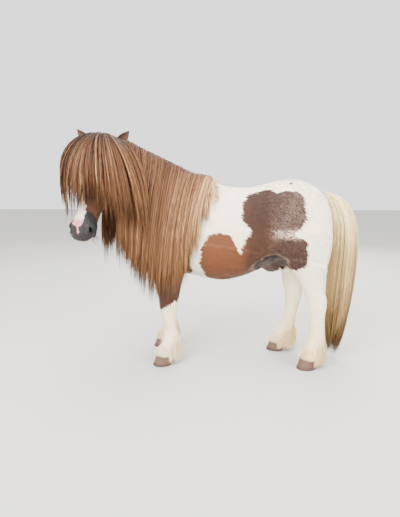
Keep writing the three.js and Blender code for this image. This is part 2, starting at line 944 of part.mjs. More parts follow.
// The dense middle of the tail.
function tailCore(reach) {
  const rows = TAIL.slice(0, Math.ceil(TAIL.length * reach));
  return loft(
    rows.map(([z, front, back, half]) =>
      section(
        {
          at: vec([(front + back) / 2, 0, z]),
          right: vec([0, 1, 0]),
          up: vec([1, 0, 0]),
          half: half * TAIL_CORE,
          rise: ((back - front) / 2) * TAIL_CORE,
          drop: ((back - front) / 2) * TAIL_CORE,
        },
        SIDES.tail,
      ),
    ),
  );
}

// The locks of the tail: each starts in the dock and runs down the outline to its own length.
function tailLocks(sizes) {
  const random = randomFrom(sizes.seed);
  const [top] = TAIL[1];
  const [foot] = TAIL.at(-2);
  return Array.from({ length: sizes.count }, (_, i) => {
    const turn = 2 * Math.PI * ((i + 0.6 * random()) / sizes.count);
    const depth = sizes.depths[i % sizes.depths.length];
    const root = lerp(top, 600, random() * 0.9);
    const tip = foot + random() ** 2 * sizes.stray + depth * 60;
    const out = vec([Math.cos(turn), Math.sin(turn), 0]);
    const line = Array.from({ length: LOCK_STEPS + 1 }, (_, k) => {
      const z = lerp(root, tip, k / LOCK_STEPS);
      const [front, back, half] = lookUp(TAIL, z);
      const reach = k === 0 ? 0.25 : 1 - depth;
      return vec([
        (front + back) / 2 + ((back - front) / 2) * reach * Math.cos(turn),
        half * reach * Math.sin(turn),
        z,
      ]);
    });
    return lock(line, out, sizes);
  });
}

// The feather: locks that hang behind and beside the fetlock, clear of the floor.
function featherLocks(name, sizes) {
  const random = randomFrom(sizes.seed + name.length);
  const { x, y, toe, side } = footOf(LIMBS[name]);
  const [ankleX, ankleY] = lookUp(LIMBS[name].path, FEATHER.root);
  return Array.from({ length: sizes.count }, (_, i) => {
    const turn = radians(lerp(-FEATHER.spread, FEATHER.spread, i / (sizes.count - 1)));
    const back = Math.cos(turn);
    const out = toe.clone().multiplyScalar(-back).addScaledVector(side, Math.sin(turn));
    const far = lerp(FEATHER.beside, FEATHER.behind, Math.max(back, 0) ** 2);
    const shorter = random() * sizes.stray;
    const ankle = vec([ankleX, ankleY, FEATHER.root]);
    const heel = vec([x, y, 0]);
    const line = [
      ankle.clone().addScaledVector(out, FEATHER.sunk),
      ankle.clone().lerp(heel, 0.25).addScaledVector(out, far * 0.72).setZ(FEATHER.root - 34),
      ankle.clone().lerp(heel, 0.6).addScaledVector(out, far * 0.95).setZ(FEATHER.root - 68),
      heel.clone().addScaledVector(out, far).setZ(FEATHER.foot + 22 + shorter),
      heel.clone().addScaledVector(out, far * 0.97).setZ(FEATHER.foot + shorter),
    ];
    return lock(line, out, sizes);
  });
}

// Colours as sRGB hex, with the roughness of each surface
const COLOURS = {
  white_coat: [0xe9e3d8, 0.85],
  chestnut_coat: [0xa0663f, 0.85],
  mane_hair: [0xb07a4e, 0.7],
  tail_hair: [0xd9c59b, 0.7],
  hoof_horn: [0x8f7460, 0.5],
  eye: [0x1c1410, 0.1],
};

function mesh(name, solid, look) {
  const { vertProperties, triVerts, numProp } = largest(solid.simplify(FINISH)).getMesh();
  const position = new THREE.BufferAttribute(vertProperties, numProp);
  const geometry = new THREE.BufferGeometry().setAttribute("position", position);
  geometry.setIndex(new THREE.BufferAttribute(triVerts, 1));
  geometry.computeVertexNormals();
  const [color, roughness] = COLOURS[look];
  const made = new THREE.Mesh(
    geometry,
    new THREE.MeshStandardMaterial({ color, roughness, metalness: 0 }),
  );
  made.name = name;
  return made;
}

function pony() {
  const group = new THREE.Group();
  const add = (name, solid, look) => group.add(mesh(name, solid, look));
  const grown = flesh(CLEAR);
  const outside = skinOf(grown);
  const parts = bodyParts(flesh(0));
  const ears = { left: ear("left", 0), right: ear("right", 0) };
  const clear = join([grown, ear("left", CLEAR), ear("right", CLEAR)]);

  add("torso", largest(parts.torso), "white_coat");
  add("neck", parts.neck, "chestnut_coat");
  add("head", largest(faceForms(parts.head)), "chestnut_coat");
  for (const name of Object.keys(LIMBS)) {
    const feather = join(featherLocks(name, LOCKS.feather)).subtract(hoof(name, CLEAR));
    add("leg_" + name, largest(parts["leg_" + name].add(feather)), "white_coat");
    add("hoof_" + name, hoof(name, 0), "hoof_horn");
  }
  for (const [name, side] of [["left", LEFT], ["right", RIGHT]]) {
    add("ear_" + name, largest(ears[name].subtract(grown)), "chestnut_coat");
    add("eye_" + name, eyeball(side), "eye");
  }
  const zones = forelockZones();
  const hair = (name, wayAt, ends, zone, columns) => {
    const core = hairCore(wayAt, evenly(...ends, columns), outside);
    const locks = hairLocks(LOCKS[name], wayAt, ends, outside);
    const solid = join([core, ...locks]).subtract(clear).subtract(zone);
    add(name, largest(solid), "mane_hair");
  };
  const maneOf = (mane) => (share, depth, steps) => maneWay(mane, share, depth, steps);
  const bearings = [FORELOCK[0][0], FORELOCK.at(-1)[0]];
  hair("forelock", forelockWay, bearings, zones.behind, 13);
  hair("mane_left", maneOf(MANE_LEFT), [0, 1], zones.ahead.add(zones.right), 9);
  hair("mane_right", maneOf(MANE_RIGHT), [0, 1], zones.ahead.add(zones.left), 9);
  const tail = join([tailCore(0.5), dock(0), ...tailLocks(LOCKS.tail)]);
  add("tail", largest(tail.subtract(grown)), "tail_hair");
  group.position.set(...MIDDLE, 0);
  return group;
}

export default pony();
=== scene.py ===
"""A still, life-size shetland pony with a skewbald coat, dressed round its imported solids.

All sizes are metres. The tables of sections and ways are in the pony's own frame: it faces -X,
its left side is towards -Y and it stands on z = 0. MIDDLE is where that frame's origin stands in
the row frame, and every finished mesh is moved there once.
"""

import sys

import logging
import math
from dataclasses import dataclass, replace
from enum import Enum
from typing import Callable

import bmesh
import bpy
import numpy as np
from bmesh.types import BMesh
from bpy.types import Material, Mesh, NodeSocket, NodeTree, Object
from mathutils import Matrix, Vector
from mathutils.bvhtree import BVHTree

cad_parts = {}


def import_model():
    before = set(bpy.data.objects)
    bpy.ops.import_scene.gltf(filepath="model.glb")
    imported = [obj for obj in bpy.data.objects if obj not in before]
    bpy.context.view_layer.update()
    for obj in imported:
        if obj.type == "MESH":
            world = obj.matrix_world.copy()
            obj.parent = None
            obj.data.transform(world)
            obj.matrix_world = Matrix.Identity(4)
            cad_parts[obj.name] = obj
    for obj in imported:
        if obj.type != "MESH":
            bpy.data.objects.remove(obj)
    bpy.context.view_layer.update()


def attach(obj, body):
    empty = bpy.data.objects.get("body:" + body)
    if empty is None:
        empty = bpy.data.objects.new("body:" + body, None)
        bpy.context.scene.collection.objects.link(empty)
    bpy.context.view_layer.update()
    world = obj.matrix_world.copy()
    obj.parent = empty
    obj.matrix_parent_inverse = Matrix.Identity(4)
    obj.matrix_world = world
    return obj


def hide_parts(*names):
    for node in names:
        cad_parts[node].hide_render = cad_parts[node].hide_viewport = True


LOG = logging.getLogger("pony")
MIDDLE = Vector((0.075, 0.082, 0.0))
UP = np.array((0.0, 0.0, 1.0))
LEVEL = np.array((1.0, 1.0, 0.0))
TURN = 2.0 * math.pi
BODY = "root"
ROOT_MAP = "OFBake"
ROOT_PATCH = 0.003

Array = np.ndarray
Numbers = tuple[float, ...]
Rows = tuple[Numbers, ...]
Colour = tuple[float, float, float, float]
Stops = tuple[tuple[float, Colour], ...]
Weigh = Callable[[Array, Array], Array]


class Side(Enum):
    """The two sides of the pony, with the sign of y on each."""

    LEFT = -1
    RIGHT = 1


class Slot(Enum):
    """The record's material slots, one named with each piece when it is dressed."""

    WHITE = "white_coat"
    MANE = "mane_hair"
    TAIL = "tail_hair"
    HORN = "hoof_horn"
    EYE = "eye"


def unit(vectors: Array) -> Array:
    """Vectors of length one, along the last axis."""
    return vectors / np.maximum(np.linalg.norm(vectors, axis=-1, keepdims=True), 1e-9)


def ease(values: Array, low: float, high: float) -> Array:
    """A soft step from 0 at `low` to 1 at `high`."""
    share = np.clip((np.asarray(values, float) - low) / (high - low), 0.0, 1.0)
    return share * share * (3.0 - 2.0 * share)


def hump(apart: Array, width: float) -> Array:
    """A soft rise to 1 where `apart` is 0, about so wide to each side."""
    return np.exp(-((apart / width) ** 2))


def between(a: Array, b: Array, c: Array, d: Array, t: Array) -> Array:
    """The smooth curve through four values, between the second and the third."""
    slope_b = (c - a) / 2.0
    slope_c = (d - b) / 2.0
    bend = 3.0 * (c - b) - 2.0 * slope_b - slope_c + t * (2.0 * (b - c) + slope_b + slope_c)
    return b + t * (slope_b + t * bend)


def look_up(rows: Rows, values: Array) -> Array:
    """The rest of a table's row at values of its first column.

    Args:
        rows: The table, in rising or falling order of its first column.
        values: Where to read it.

    Returns:
        One row of the other columns for each value, on a smooth curve through the table.
    """
    table = np.asarray(rows, float)
    if table[0, 0] > table[-1, 0]:
        table = table[::-1]
    keys = table[:, 0]
    at = np.clip(np.asarray(values, float), keys[0], keys[-1])
    k = np.clip(np.searchsorted(keys, at, side="right"), 1, len(keys) - 1)
    t = ((at - keys[k - 1]) / (keys[k] - keys[k - 1]))[..., None]

    def row(index: Array) -> Array:
        """The table's rows at numbers that may run past its ends."""
        return table[np.clip(index, 0, len(keys) - 1), 1:]

    return between(row(k - 2), row(k - 1), row(k), row(k + 1), t)


def finer(rows: Rows, steps: int) -> Array:
    """A table with smooth rows set between its own, so many for each stretch."""
    count = (len(rows) - 1) * steps
    numbered = tuple((float(k), *row) for k, row in enumerate(rows))
    return look_up(numbered, np.linspace(0.0, len(rows) - 1.0, count + 1))


def turned(vector: Array, axis: Array, angle: float) -> Array:
    """A vector turned about an axis of length one, by an angle in radians."""
    across = np.cross(axis, vector)
    return (
        vector * math.cos(angle)
        + across * math.sin(angle)
        + axis * float(axis @ vector) * (1.0 - math.cos(angle))
    )


@dataclass(frozen=True)
class Section:
    """A rounded cross-section with its own half width, rise and drop."""

    at: Array
    right: Array
    up: Array
    half: float
    rise: float
    drop: float
    power: float = 2.2
    taper: float = 0.0
    hollow: float = 0.0

    def ring(self, sides: int) -> Array:
        """The section's outline as so many points, one after another."""
        turn = np.linspace(0.0, TURN, sides, endpoint=False)
        across = np.sign(np.cos(turn)) * np.abs(np.cos(turn)) ** (2.0 / self.power)
        over = np.sign(np.sin(turn)) * np.abs(np.sin(turn)) ** (2.0 / self.power)
        height = over * np.where(over > 0.0, self.rise, self.drop)
        height -= np.where(over > 0.0, self.hollow * np.maximum(0.0, 1.0 - (across / 0.86) ** 2), 0.0)
        width = across * self.half * (1.0 + self.taper * over)
        return self.at + np.outer(width, self.right) + np.outer(height, self.up)


def loft(mesh: BMesh, sections: list[Section], sides: int) -> None:
    """Adds a closed body skinned over sections.

    Args:
        mesh: What the body is added to.
        sections: The cross-sections, from one end to the other.
        sides: How many points each cross-section has.
    """
    loops = []
    for section in sections:
        verts = bmesh.ops.create_circle(mesh, segments=sides, radius=1.0)["verts"]
        for vert, point in zip(verts, section.ring(sides)):
            vert.co = point
        loops.append(list(dict.fromkeys(edge for vert in verts for edge in vert.link_edges)))
    for lower, upper in zip(loops, loops[1:]):
        bmesh.ops.bridge_loops(mesh, edges=lower + upper)
    bmesh.ops.holes_fill(mesh, edges=loops[0] + loops[-1], sides=0)


def lump(mesh: BMesh, at: Array | Numbers, axes: Array, radii: Numbers) -> None:
    """Adds an ellipsoid with its radii along three axes."""
    frame = Matrix.Identity(4)
    for column, (axis, radius) in enumerate(zip(axes, radii)):
        for row in range(3):
            frame[row][column] = axis[row] * radius
    frame.translation = Vector(at)
    bmesh.ops.create_uvsphere(mesh, u_segments=28, v_segments=18, radius=1.0, matrix=frame)


def linked(name: str, data: bpy.types.ID) -> Object:
    """A new object in the scene that holds a mesh, a light or a camera."""
    made = bpy.data.objects.new(name, data)
    bpy.context.scene.collection.objects.link(made)
    return made


def object_of(name: str, mesh: BMesh) -> Object:
    """A new object in the scene that holds a mesh, with its faces pointing outwards."""
    bmesh.ops.recalc_face_normals(mesh, faces=mesh.faces)
    data = bpy.data.meshes.new(name)
    mesh.to_mesh(data)
    mesh.free()
    data.shade_smooth()
    return linked(name, data)


def applied(piece: Object) -> Object:
    """The same object with its modifiers made part of its mesh."""
    graph = bpy.context.evaluated_depsgraph_get()
    data = bpy.data.meshes.new_from_object(piece.evaluated_get(graph))
    piece.modifiers.clear()
    old = piece.data
    piece.data = data
    bpy.data.meshes.remove(old)
    return piece


def fused(piece: Object, voxel: float) -> Object:
    """The bodies of one mesh made into a single even skin, with faces about so wide."""
    even = piece.modifiers.new("even", "REMESH")
    even.mode = "VOXEL"
    even.voxel_size = voxel
    return applied(piece)


def points_of(data: Mesh) -> Array:
    """The places of a mesh's vertices."""
    flat = np.empty(len(data.vertices) * 3, np.float32)
    data.vertices.foreach_get("co", flat)
    return flat.reshape(-1, 3).astype(float)


def facing_of(data: Mesh) -> Array:
    """The normals of a mesh's vertices."""
    flat = np.empty(len(data.vertices) * 3, np.float32)
    data.vertex_normals.foreach_get("vector", flat)
    return flat.reshape(-1, 3).astype(float)


def move_points(data: Mesh, points: Array) -> None:
    """Puts a mesh's vertices at new places."""
    data.vertices.foreach_set("co", points.astype(np.float32).ravel())
    data.update()


def soften(data: Mesh, rounds: int, chosen: Array | None = None) -> None:
    """Smooths a mesh, or only its chosen vertices."""
    mesh = bmesh.new()
    mesh.from_mesh(data)
    mesh.verts.ensure_lookup_table()
    picked = mesh.verts[:] if chosen is None else [mesh.verts[i] for i in np.flatnonzero(chosen)]
    for _ in range(rounds):
        bmesh.ops.smooth_vert(
            mesh, verts=picked, factor=0.5, use_axis_x=True, use_axis_y=True, use_axis_z=True
        )
    mesh.to_mesh(data)
    mesh.free()
    data.update()


@dataclass
class Trunk:
    """The barrel from the breast to the buttocks: x, back, belly, half width and taper."""

    waist: float = 0.5
    stations: Rows = (
        (-0.404, 0.600, 0.530, 0.030, 0.0), (-0.394, 0.655, 0.475, 0.076, 0.0),
        (-0.366, 0.705, 0.430, 0.116, 0.0), (-0.310, 0.752, 0.405, 0.142, -0.1),
        (-0.240, 0.784, 0.392, 0.155, -0.2), (-0.180, 0.798, 0.381, 0.161, -0.26),
        (-0.129, 0.796, 0.369, 0.167, -0.24), (-0.087, 0.781, 0.362, 0.171, -0.17),
        (-0.044, 0.766, 0.359, 0.175, -0.1), (0.020, 0.758, 0.372, 0.177, -0.07),
        (0.084, 0.763, 0.397, 0.173, -0.06), (0.140, 0.777, 0.424, 0.168, -0.06),
        (0.200, 0.790, 0.446, 0.165, -0.07), (0.250, 0.791, 0.455, 0.164, -0.08),
        (0.292, 0.782, 0.462, 0.161, -0.1), (0.335, 0.760, 0.472, 0.151, -0.12),
        (0.365, 0.735, 0.486, 0.132, -0.1), (0.388, 0.698, 0.506, 0.102, 0.0),
        (0.402, 0.655, 0.532, 0.066, 0.0), (0.408, 0.620, 0.560, 0.030, 0.0),
    )
    groin: Numbers = (0.196, 0.0, 0.444)
    groin_radii: Numbers = (0.062, 0.026, 0.030)

    def add_to(self, mesh: BMesh) -> None:
        """Adds the barrel and the fullness between the thighs."""
        sections = []
        for x, back, belly, half, taper in finer(self.stations, 3):
            middle = belly + (back - belly) * self.waist
            at = np.array((x, 0.0, middle))
            right = np.array((0.0, 1.0, 0.0))
            sections.append(Section(at, right, UP, half, back - middle, middle - belly, taper=taper))
        loft(mesh, sections, 56)
        lump(mesh, self.groin, np.eye(3), self.groin_radii)


@dataclass
class Neck:
    """The neck from the withers to the poll: the crest's place, the throat's place, half width."""

    power: float = 2.0
    taper: float = -0.18
    stations: Rows = (
        (-0.110, 0.000, 0.750, -0.300, 0.000, 0.440, 0.112),
        (-0.165, -0.005, 0.792, -0.372, -0.006, 0.520, 0.108),
        (-0.235, -0.020, 0.828, -0.412, -0.028, 0.612, 0.092),
        (-0.315, -0.056, 0.862, -0.436, -0.074, 0.690, 0.080),
        (-0.395, -0.110, 0.893, -0.468, -0.130, 0.752, 0.071),
        (-0.468, -0.164, 0.908, -0.508, -0.182, 0.800, 0.062),
    )

    def add_to(self, mesh: BMesh) -> None:
        """Adds the neck."""
        rows = finer(self.stations, 5)
        crests = rows[:, 0:3]
        throats = rows[:, 3:6]
        middles = (crests + throats) / 2.0
        along = np.gradient(middles, axis=0)
        ups = unit(crests - throats)
        rights = unit(np.cross(ups, along))
        reaches = np.linalg.norm(crests - throats, axis=1) / 2.0
        sections = [
            Section(middle, right, up, half, reach, reach, self.power, self.taper)
            for middle, right, up, half, reach in zip(middles, rights, ups, rows[:, 6], reaches)
        ]
        loft(mesh, sections, 48)


@dataclass
class Head:
    """The head: its skull's stations and forms, in a frame of its own at the poll.

    A place on the head is told as how far along towards the nose, how high out of the face and
    how far out towards the left cheek.
    """

    poll: Numbers = (-0.521, -0.196, 0.911)
    yaw: float = 6.0
    drop: float = 64.0
    roll: float = 6.0
    stations: Rows = (
        (-0.034, -0.038, -0.062, 0.020, 0.0), (-0.024, -0.018, -0.082, 0.040, 0.0),
        (0.000, 0.000, -0.106, 0.058, 0.05), (0.038, 0.007, -0.128, 0.069, 0.08),
        (0.080, 0.010, -0.146, 0.077, 0.12), (0.118, 0.007, -0.152, 0.078, 0.14),
        (0.158, 0.001, -0.143, 0.069, 0.14), (0.198, -0.005, -0.122, 0.057, 0.12),
        (0.236, -0.008, -0.102, 0.047, 0.08), (0.272, -0.008, -0.090, 0.042, 0.02),
        (0.306, -0.004, -0.088, 0.044, -0.02), (0.334, -0.006, -0.088, 0.045, -0.02),
        (0.354, -0.014, -0.084, 0.039, 0.0), (0.366, -0.026, -0.072, 0.027, 0.0),
        (0.371, -0.038, -0.060, 0.012, 0.0),
    )
    forms: Rows = (
        (0.112, -0.092, 0.044, 0.058, 0.052, 0.030),
        (0.112, -0.024, 0.060, 0.026, 0.018, 0.018),
        (0.322, -0.030, 0.032, 0.024, 0.018, 0.014),
        (0.346, -0.050, 0.020, 0.020, 0.022, 0.022),
        (0.338, -0.082, 0.012, 0.022, 0.016, 0.022),
        (0.122, -0.038, 0.061, 0.023, 0.023, 0.023),
    )
    eye: Numbers = (0.122, -0.038, 0.061)
    eye_radius: float = 0.019
    gape: tuple[float, float] = (0.017, 0.0095)
    lid: float = 0.0030
    nostril: Numbers = (0.330, -0.026, 0.032)
    mouth_height: float = -0.060
    mouth_corner: float = 0.288

    def __post_init__(self) -> None:
        """Works out the ways that the head's own frame points."""
        yaw = math.radians(self.yaw)
        drop = math.radians(self.drop)
        self.ahead = np.array((-math.sin(yaw), -math.cos(yaw), 0.0))
        nose = self.ahead * math.cos(drop) - UP * math.sin(drop)
        face = self.ahead * math.sin(drop) + UP * math.cos(drop)
        self.aside = np.cross(UP, self.ahead)
        tilt = -math.radians(self.roll)
        ways = (nose, face, self.aside)
        self.axes = np.array([turned(way, self.ahead, tilt) for way in ways])

    def on(self, along: float, height: float, out: float) -> Array:
        """The place in the pony's own frame of a place on the head."""
        return np.array(self.poll) + np.array((along, height, out)) @ self.axes

    def seen(self, points: Array) -> Array:
        """Places told in the head's frame."""
        return (points - np.array(self.poll)) @ self.axes.T

    def add_to(self, mesh: BMesh) -> None:
        """Adds the skull with its cheeks, brows, nostrils, lips, chin and eyes."""
        _, face, left = self.axes
        sections = []
        for along, top, jaw, half, taper in finer(self.stations, 4):
            waist = (top + jaw) / 2.0
            at = self.on(along, waist, 0.0)
            sections.append(Section(at, left, face, half, top - waist, waist - jaw, 2.3, taper))
        loft(mesh, sections, 56)
        for along, height, out, *radii in self.forms:
            for side in Side:
                lump(mesh, self.on(along, height, -side.value * out), self.axes, tuple(radii))

    def refine(self, data: Mesh) -> None:
        """Gives the eyes and the muzzle the finer faces that their folds need."""
        mesh = bmesh.new()
        mesh.from_mesh(data)
        for near in (self.near_muzzle, self.near_eyes, self.near_lids):
            centres = np.array([face.calc_center_median() for face in mesh.faces])
            picked = np.flatnonzero(near(self.seen(centres)))
            mesh.faces.ensure_lookup_table()
            edges = dict.fromkeys(edge for i in picked for edge in mesh.faces[i].edges)
            bmesh.ops.subdivide_edges(mesh, edges=list(edges), cuts=1, use_grid_fill=True)
        bmesh.ops.triangulate(mesh, faces=[face for face in mesh.faces if len(face.verts) > 4])
        mesh.to_mesh(data)
        mesh.free()

    def near_muzzle(self, places: Array) -> Array:
        """Which places are on the muzzle."""
        return places[:, 0] > 0.292

    def from_eye(self, places: Array) -> Array:
        """How far places are from the nearer eye, in the head's frame and mirrored to the left."""
        mirrored = places.copy()
        mirrored[:, 2] = np.abs(mirrored[:, 2])
        return mirrored - np.array(self.eye)

    def near_eyes(self, places: Array) -> Array:
        """Which places are round an eye."""
        apart = self.from_eye(places)
        return (np.hypot(apart[:, 0], apart[:, 1]) < 0.036) & (apart[:, 2] > 0.0)

    def near_lids(self, places: Array) -> Array:
        """Which places are on the lids or between them."""
        apart = self.from_eye(places)
        return (np.hypot(apart[:, 0], apart[:, 1] * 1.3) < 0.024) & (apart[:, 2] > 0.0)

    def sculpt(self, data: Mesh) -> None:
        """Moves the skin of the head into its sockets, lids, ridges, nostrils and lips."""
        self.refine(data)
        soften(data, 2)
        places = self.seen(points_of(data))
        side = np.where(places[:, 2] < 0.0, -1.0, 1.0)
        places[:, 2] *= side
        facing = facing_of(data) @ self.axes.T
        facing[:, 2] *= side
        self.shape_bones(places, facing)
        self.shape_mouth(places, facing)
        self.shape_nostrils(places)
        self.shape_lids(places)
        places[:, 2] *= side
        move_points(data, np.array(self.poll) + places @ self.axes)

    def shape_bones(self, places: Array, facing: Array) -> None:
        """Raises the crest under each eye and the nasal bone, and sinks the hollows by them."""
        along, height, out = places.T.copy()
        crest_height = -0.052 - 0.10 * (along - 0.14)
        crest = hump(height - crest_height, 0.007)
        crest *= ease(along, 0.135, 0.160) * (1.0 - ease(along, 0.205, 0.245)) * (out > 0.02)
        below = hump(height - crest_height + 0.020, 0.011)
        below *= ease(along, 0.15, 0.18) * (1.0 - ease(along, 0.23, 0.27)) * (out > 0.02)
        bridge = hump(height + 0.026, 0.010) * (out > 0.02)
        bridge *= ease(along, 0.17, 0.22) * (1.0 - ease(along, 0.27, 0.31))
        hollow = hump(along - 0.086, 0.015) * hump(height + 0.014, 0.012) * (out > 0.03)
        jowl = hump(along - 0.168 - 0.5 * (height + 0.10), 0.012)
        jowl *= (height < -0.07) * (out > 0.02)
        depth = 0.0035 * crest - 0.0030 * below - 0.0022 * bridge - 0.0035 * hollow - 0.0020 * jowl
        places += facing * depth[:, None]

    def shape_mouth(self, places: Array, facing: Array) -> None:
        """Cuts the line of the mouth and rolls the lips along it."""
        along, height, _ = places.T.copy()
        line = self.mouth_height + 0.018 * ease(along, 0.335, 0.366)
        apart = height - line
        within = ease(along, self.mouth_corner - 0.004, self.mouth_corner + 0.012)
        groove = hump(apart, 0.0018)
        lips = hump(np.abs(apart) - 0.0064, 0.0036)
        corner = hump(along - self.mouth_corner, 0.010) * hump(apart, 0.012)
        depth = (0.0018 * lips - 0.0046 * groove) * within - 0.002 * corner
        places += facing * depth[:, None]

    def shape_nostrils(self, places: Array) -> None:
        """Opens each nostril as a slanting drop with a raised rim."""
        apart = places - np.array(self.nostril)
        outward = unit(np.array((0.58, 0.24, 0.78)))
        long_way = unit(np.cross(outward, np.array((0.55, -0.80, 0.0))))
        long_way = unit(np.cross(long_way, outward))
        short_way = np.cross(outward, long_way)
        u = apart @ long_way
        v = apart @ short_way + 0.25 * np.abs(u)
        q = np.hypot(u / 0.0165, v / 0.0090)
        near = np.abs(apart @ outward) < 0.022
        sink = 0.015 * (1.0 - ease(q, 0.45, 1.0)) * near
        rim = 0.0046 * hump(q - 1.28, 0.26) * near
        places += outward * (rim - sink)[:, None]

    def shape_lids(self, places: Array) -> None:
        """Sets the lids round each eyeball, with a fold above and a bag below."""
        apart = places - np.array(self.eye)
        reach = np.linalg.norm(apart, axis=1)
        slant = 0.16
        u = apart[:, 0] * math.cos(slant) + apart[:, 1] * math.sin(slant)
        v = apart[:, 1] * math.cos(slant) - apart[:, 0] * math.sin(slant)
        half_gape = self.gape[1] * np.where(v > 0.0, 1.0, 0.82)
        q = np.hypot(u / self.gape[0], v / half_gape)
        outer = apart[:, 2] > 0.004
        wanted = self.eye_radius + self.lid
        wanted = wanted + 0.0016 * hump(q - 1.12, 0.14)
        wanted = wanted - 0.0026 * hump(q - 1.85, 0.16) * (v > 0.0)
        wanted = wanted - 0.0014 * hump(q - 1.75, 0.16) * (v < 0.0)
        inside = self.eye_radius - 0.0050
        wanted = inside + (wanted - inside) * ease(q, 0.86, 1.04)
        weight = (1.0 - ease(q, 1.7, 2.7)) * outer
        moved = np.array(self.eye) + apart / np.maximum(reach, 1e-6)[:, None] * wanted[:, None]
        places += (moved - places) * weight[:, None]


@dataclass
class Ear:
    """One ear: a leaf with a hollow front. Its rows hold height, half width, thickness, hollow."""

    side: Side
    head: Head
    lean: float
    stretch: float
    root: Numbers = (-0.002, -0.026, 0.046)
    rows: Rows = (
        (-0.016, 0.016, 0.014, 0.000), (0.004, 0.021, 0.016, 0.003),
        (0.018, 0.024, 0.017, 0.016), (0.034, 0.025, 0.016, 0.022),
        (0.058, 0.023, 0.014, 0.019), (0.080, 0.015, 0.010, 0.011),
        (0.092, 0.009, 0.007, 0.003), (0.099, 0.005, 0.004, 0.000),
    )

    def directions(self) -> tuple[Array, Array, Array]:
        """The ways up the ear, out of its hollow and across it."""
        nose, face, left = self.head.axes
        lean = math.radians(self.lean)
        outward = left * -self.side.value
        rise = nose * -math.cos(lean) + outward * math.sin(lean)
        front = face * 0.86 + outward * 0.5
        front = unit(front - rise * float(front @ rise))
        return rise, front, np.cross(rise, front)

    def base(self) -> Array:
        """Where the ear's middle line leaves the head."""
        along, height, out = self.root
        return self.head.on(along, height, -self.side.value * out)

    def add_to(self, mesh: BMesh) -> None:
        """Adds the ear."""
        rise, front, across = self.directions()
        sections = []
        for far, half, thick, hollow in finer(self.rows, 3):
            at = self.base() + rise * far * self.stretch
            sections.append(Section(at, across, front, half, thick, thick, 2.0, hollow=hollow))
        loft(mesh, sections, 32)


FORE_SIZES: Rows = (
    (0.705, 0.030, 0.030, 0.020), (0.660, 0.072, 0.068, 0.042), (0.600, 0.096, 0.090, 0.052),
    (0.530, 0.108, 0.098, 0.057), (0.465, 0.100, 0.092, 0.055), (0.410, 0.076, 0.072, 0.048),
    (0.370, 0.062, 0.060, 0.043), (0.325, 0.053, 0.050, 0.039), (0.285, 0.044, 0.043, 0.036),
    (0.257, 0.042, 0.041, 0.036), (0.228, 0.036, 0.034, 0.032), (0.190, 0.029, 0.028, 0.027),
    (0.155, 0.028, 0.028, 0.027), (0.124, 0.033, 0.037, 0.031), (0.100, 0.037, 0.040, 0.034),
    (0.074, 0.035, 0.032, 0.032), (0.054, 0.036, 0.033, 0.034),
)
HIND_SIZES: Rows = (
    (0.722, 0.035, 0.035, 0.024), (0.690, 0.080, 0.075, 0.045), (0.640, 0.110, 0.106, 0.060),
    (0.570, 0.120, 0.116, 0.068), (0.510, 0.114, 0.112, 0.066), (0.460, 0.098, 0.098, 0.058),
    (0.415, 0.072, 0.070, 0.050), (0.372, 0.050, 0.050, 0.042), (0.335, 0.042, 0.043, 0.036),
    (0.305, 0.042, 0.044, 0.034), (0.280, 0.038, 0.042, 0.033), (0.250, 0.034, 0.036, 0.031),
    (0.215, 0.031, 0.031, 0.028), (0.170, 0.030, 0.030, 0.027), (0.130, 0.034, 0.037, 0.031),
    (0.102, 0.039, 0.040, 0.034), (0.074, 0.036, 0.033, 0.033), (0.054, 0.037, 0.034, 0.034),
)


FRONT_LEFT_PATH: Rows = (
    (0.705, -0.262, -0.066), (0.600, -0.284, -0.092), (0.500, -0.292, -0.098),
    (0.410, -0.281, -0.095), (0.325, -0.277, -0.094), (0.257, -0.278, -0.093),
    (0.190, -0.275, -0.093), (0.124, -0.270, -0.093), (0.100, -0.272, -0.095),
    (0.040, -0.297, -0.110),
)
FRONT_RIGHT_PATH: Rows = (
    (0.705, -0.264, 0.066), (0.600, -0.288, 0.092), (0.500, -0.298, 0.098),
    (0.410, -0.292, 0.095), (0.325, -0.294, 0.093), (0.257, -0.300, 0.092),
    (0.190, -0.301, 0.092), (0.124, -0.300, 0.092), (0.100, -0.303, 0.092),
    (0.040, -0.330, 0.098),
)
HIND_LEFT_PATH: Rows = (
    (0.722, 0.300, -0.070), (0.640, 0.285, -0.094), (0.570, 0.281, -0.099),
    (0.510, 0.283, -0.099), (0.460, 0.290, -0.098), (0.415, 0.306, -0.097),
    (0.372, 0.320, -0.095), (0.335, 0.327, -0.094), (0.305, 0.340, -0.094),
    (0.250, 0.348, -0.094), (0.170, 0.350, -0.094), (0.102, 0.343, -0.096),
    (0.040, 0.318, -0.108),
)
HIND_RIGHT_PATH: Rows = (
    (0.722, 0.298, 0.070), (0.640, 0.278, 0.094), (0.570, 0.268, 0.099),
    (0.510, 0.262, 0.099), (0.460, 0.257, 0.097), (0.415, 0.259, 0.094),
    (0.372, 0.263, 0.090), (0.335, 0.266, 0.088), (0.305, 0.272, 0.086),
    (0.250, 0.274, 0.085), (0.170, 0.262, 0.085), (0.102, 0.240, 0.086),
    (0.040, 0.210, 0.090),
)


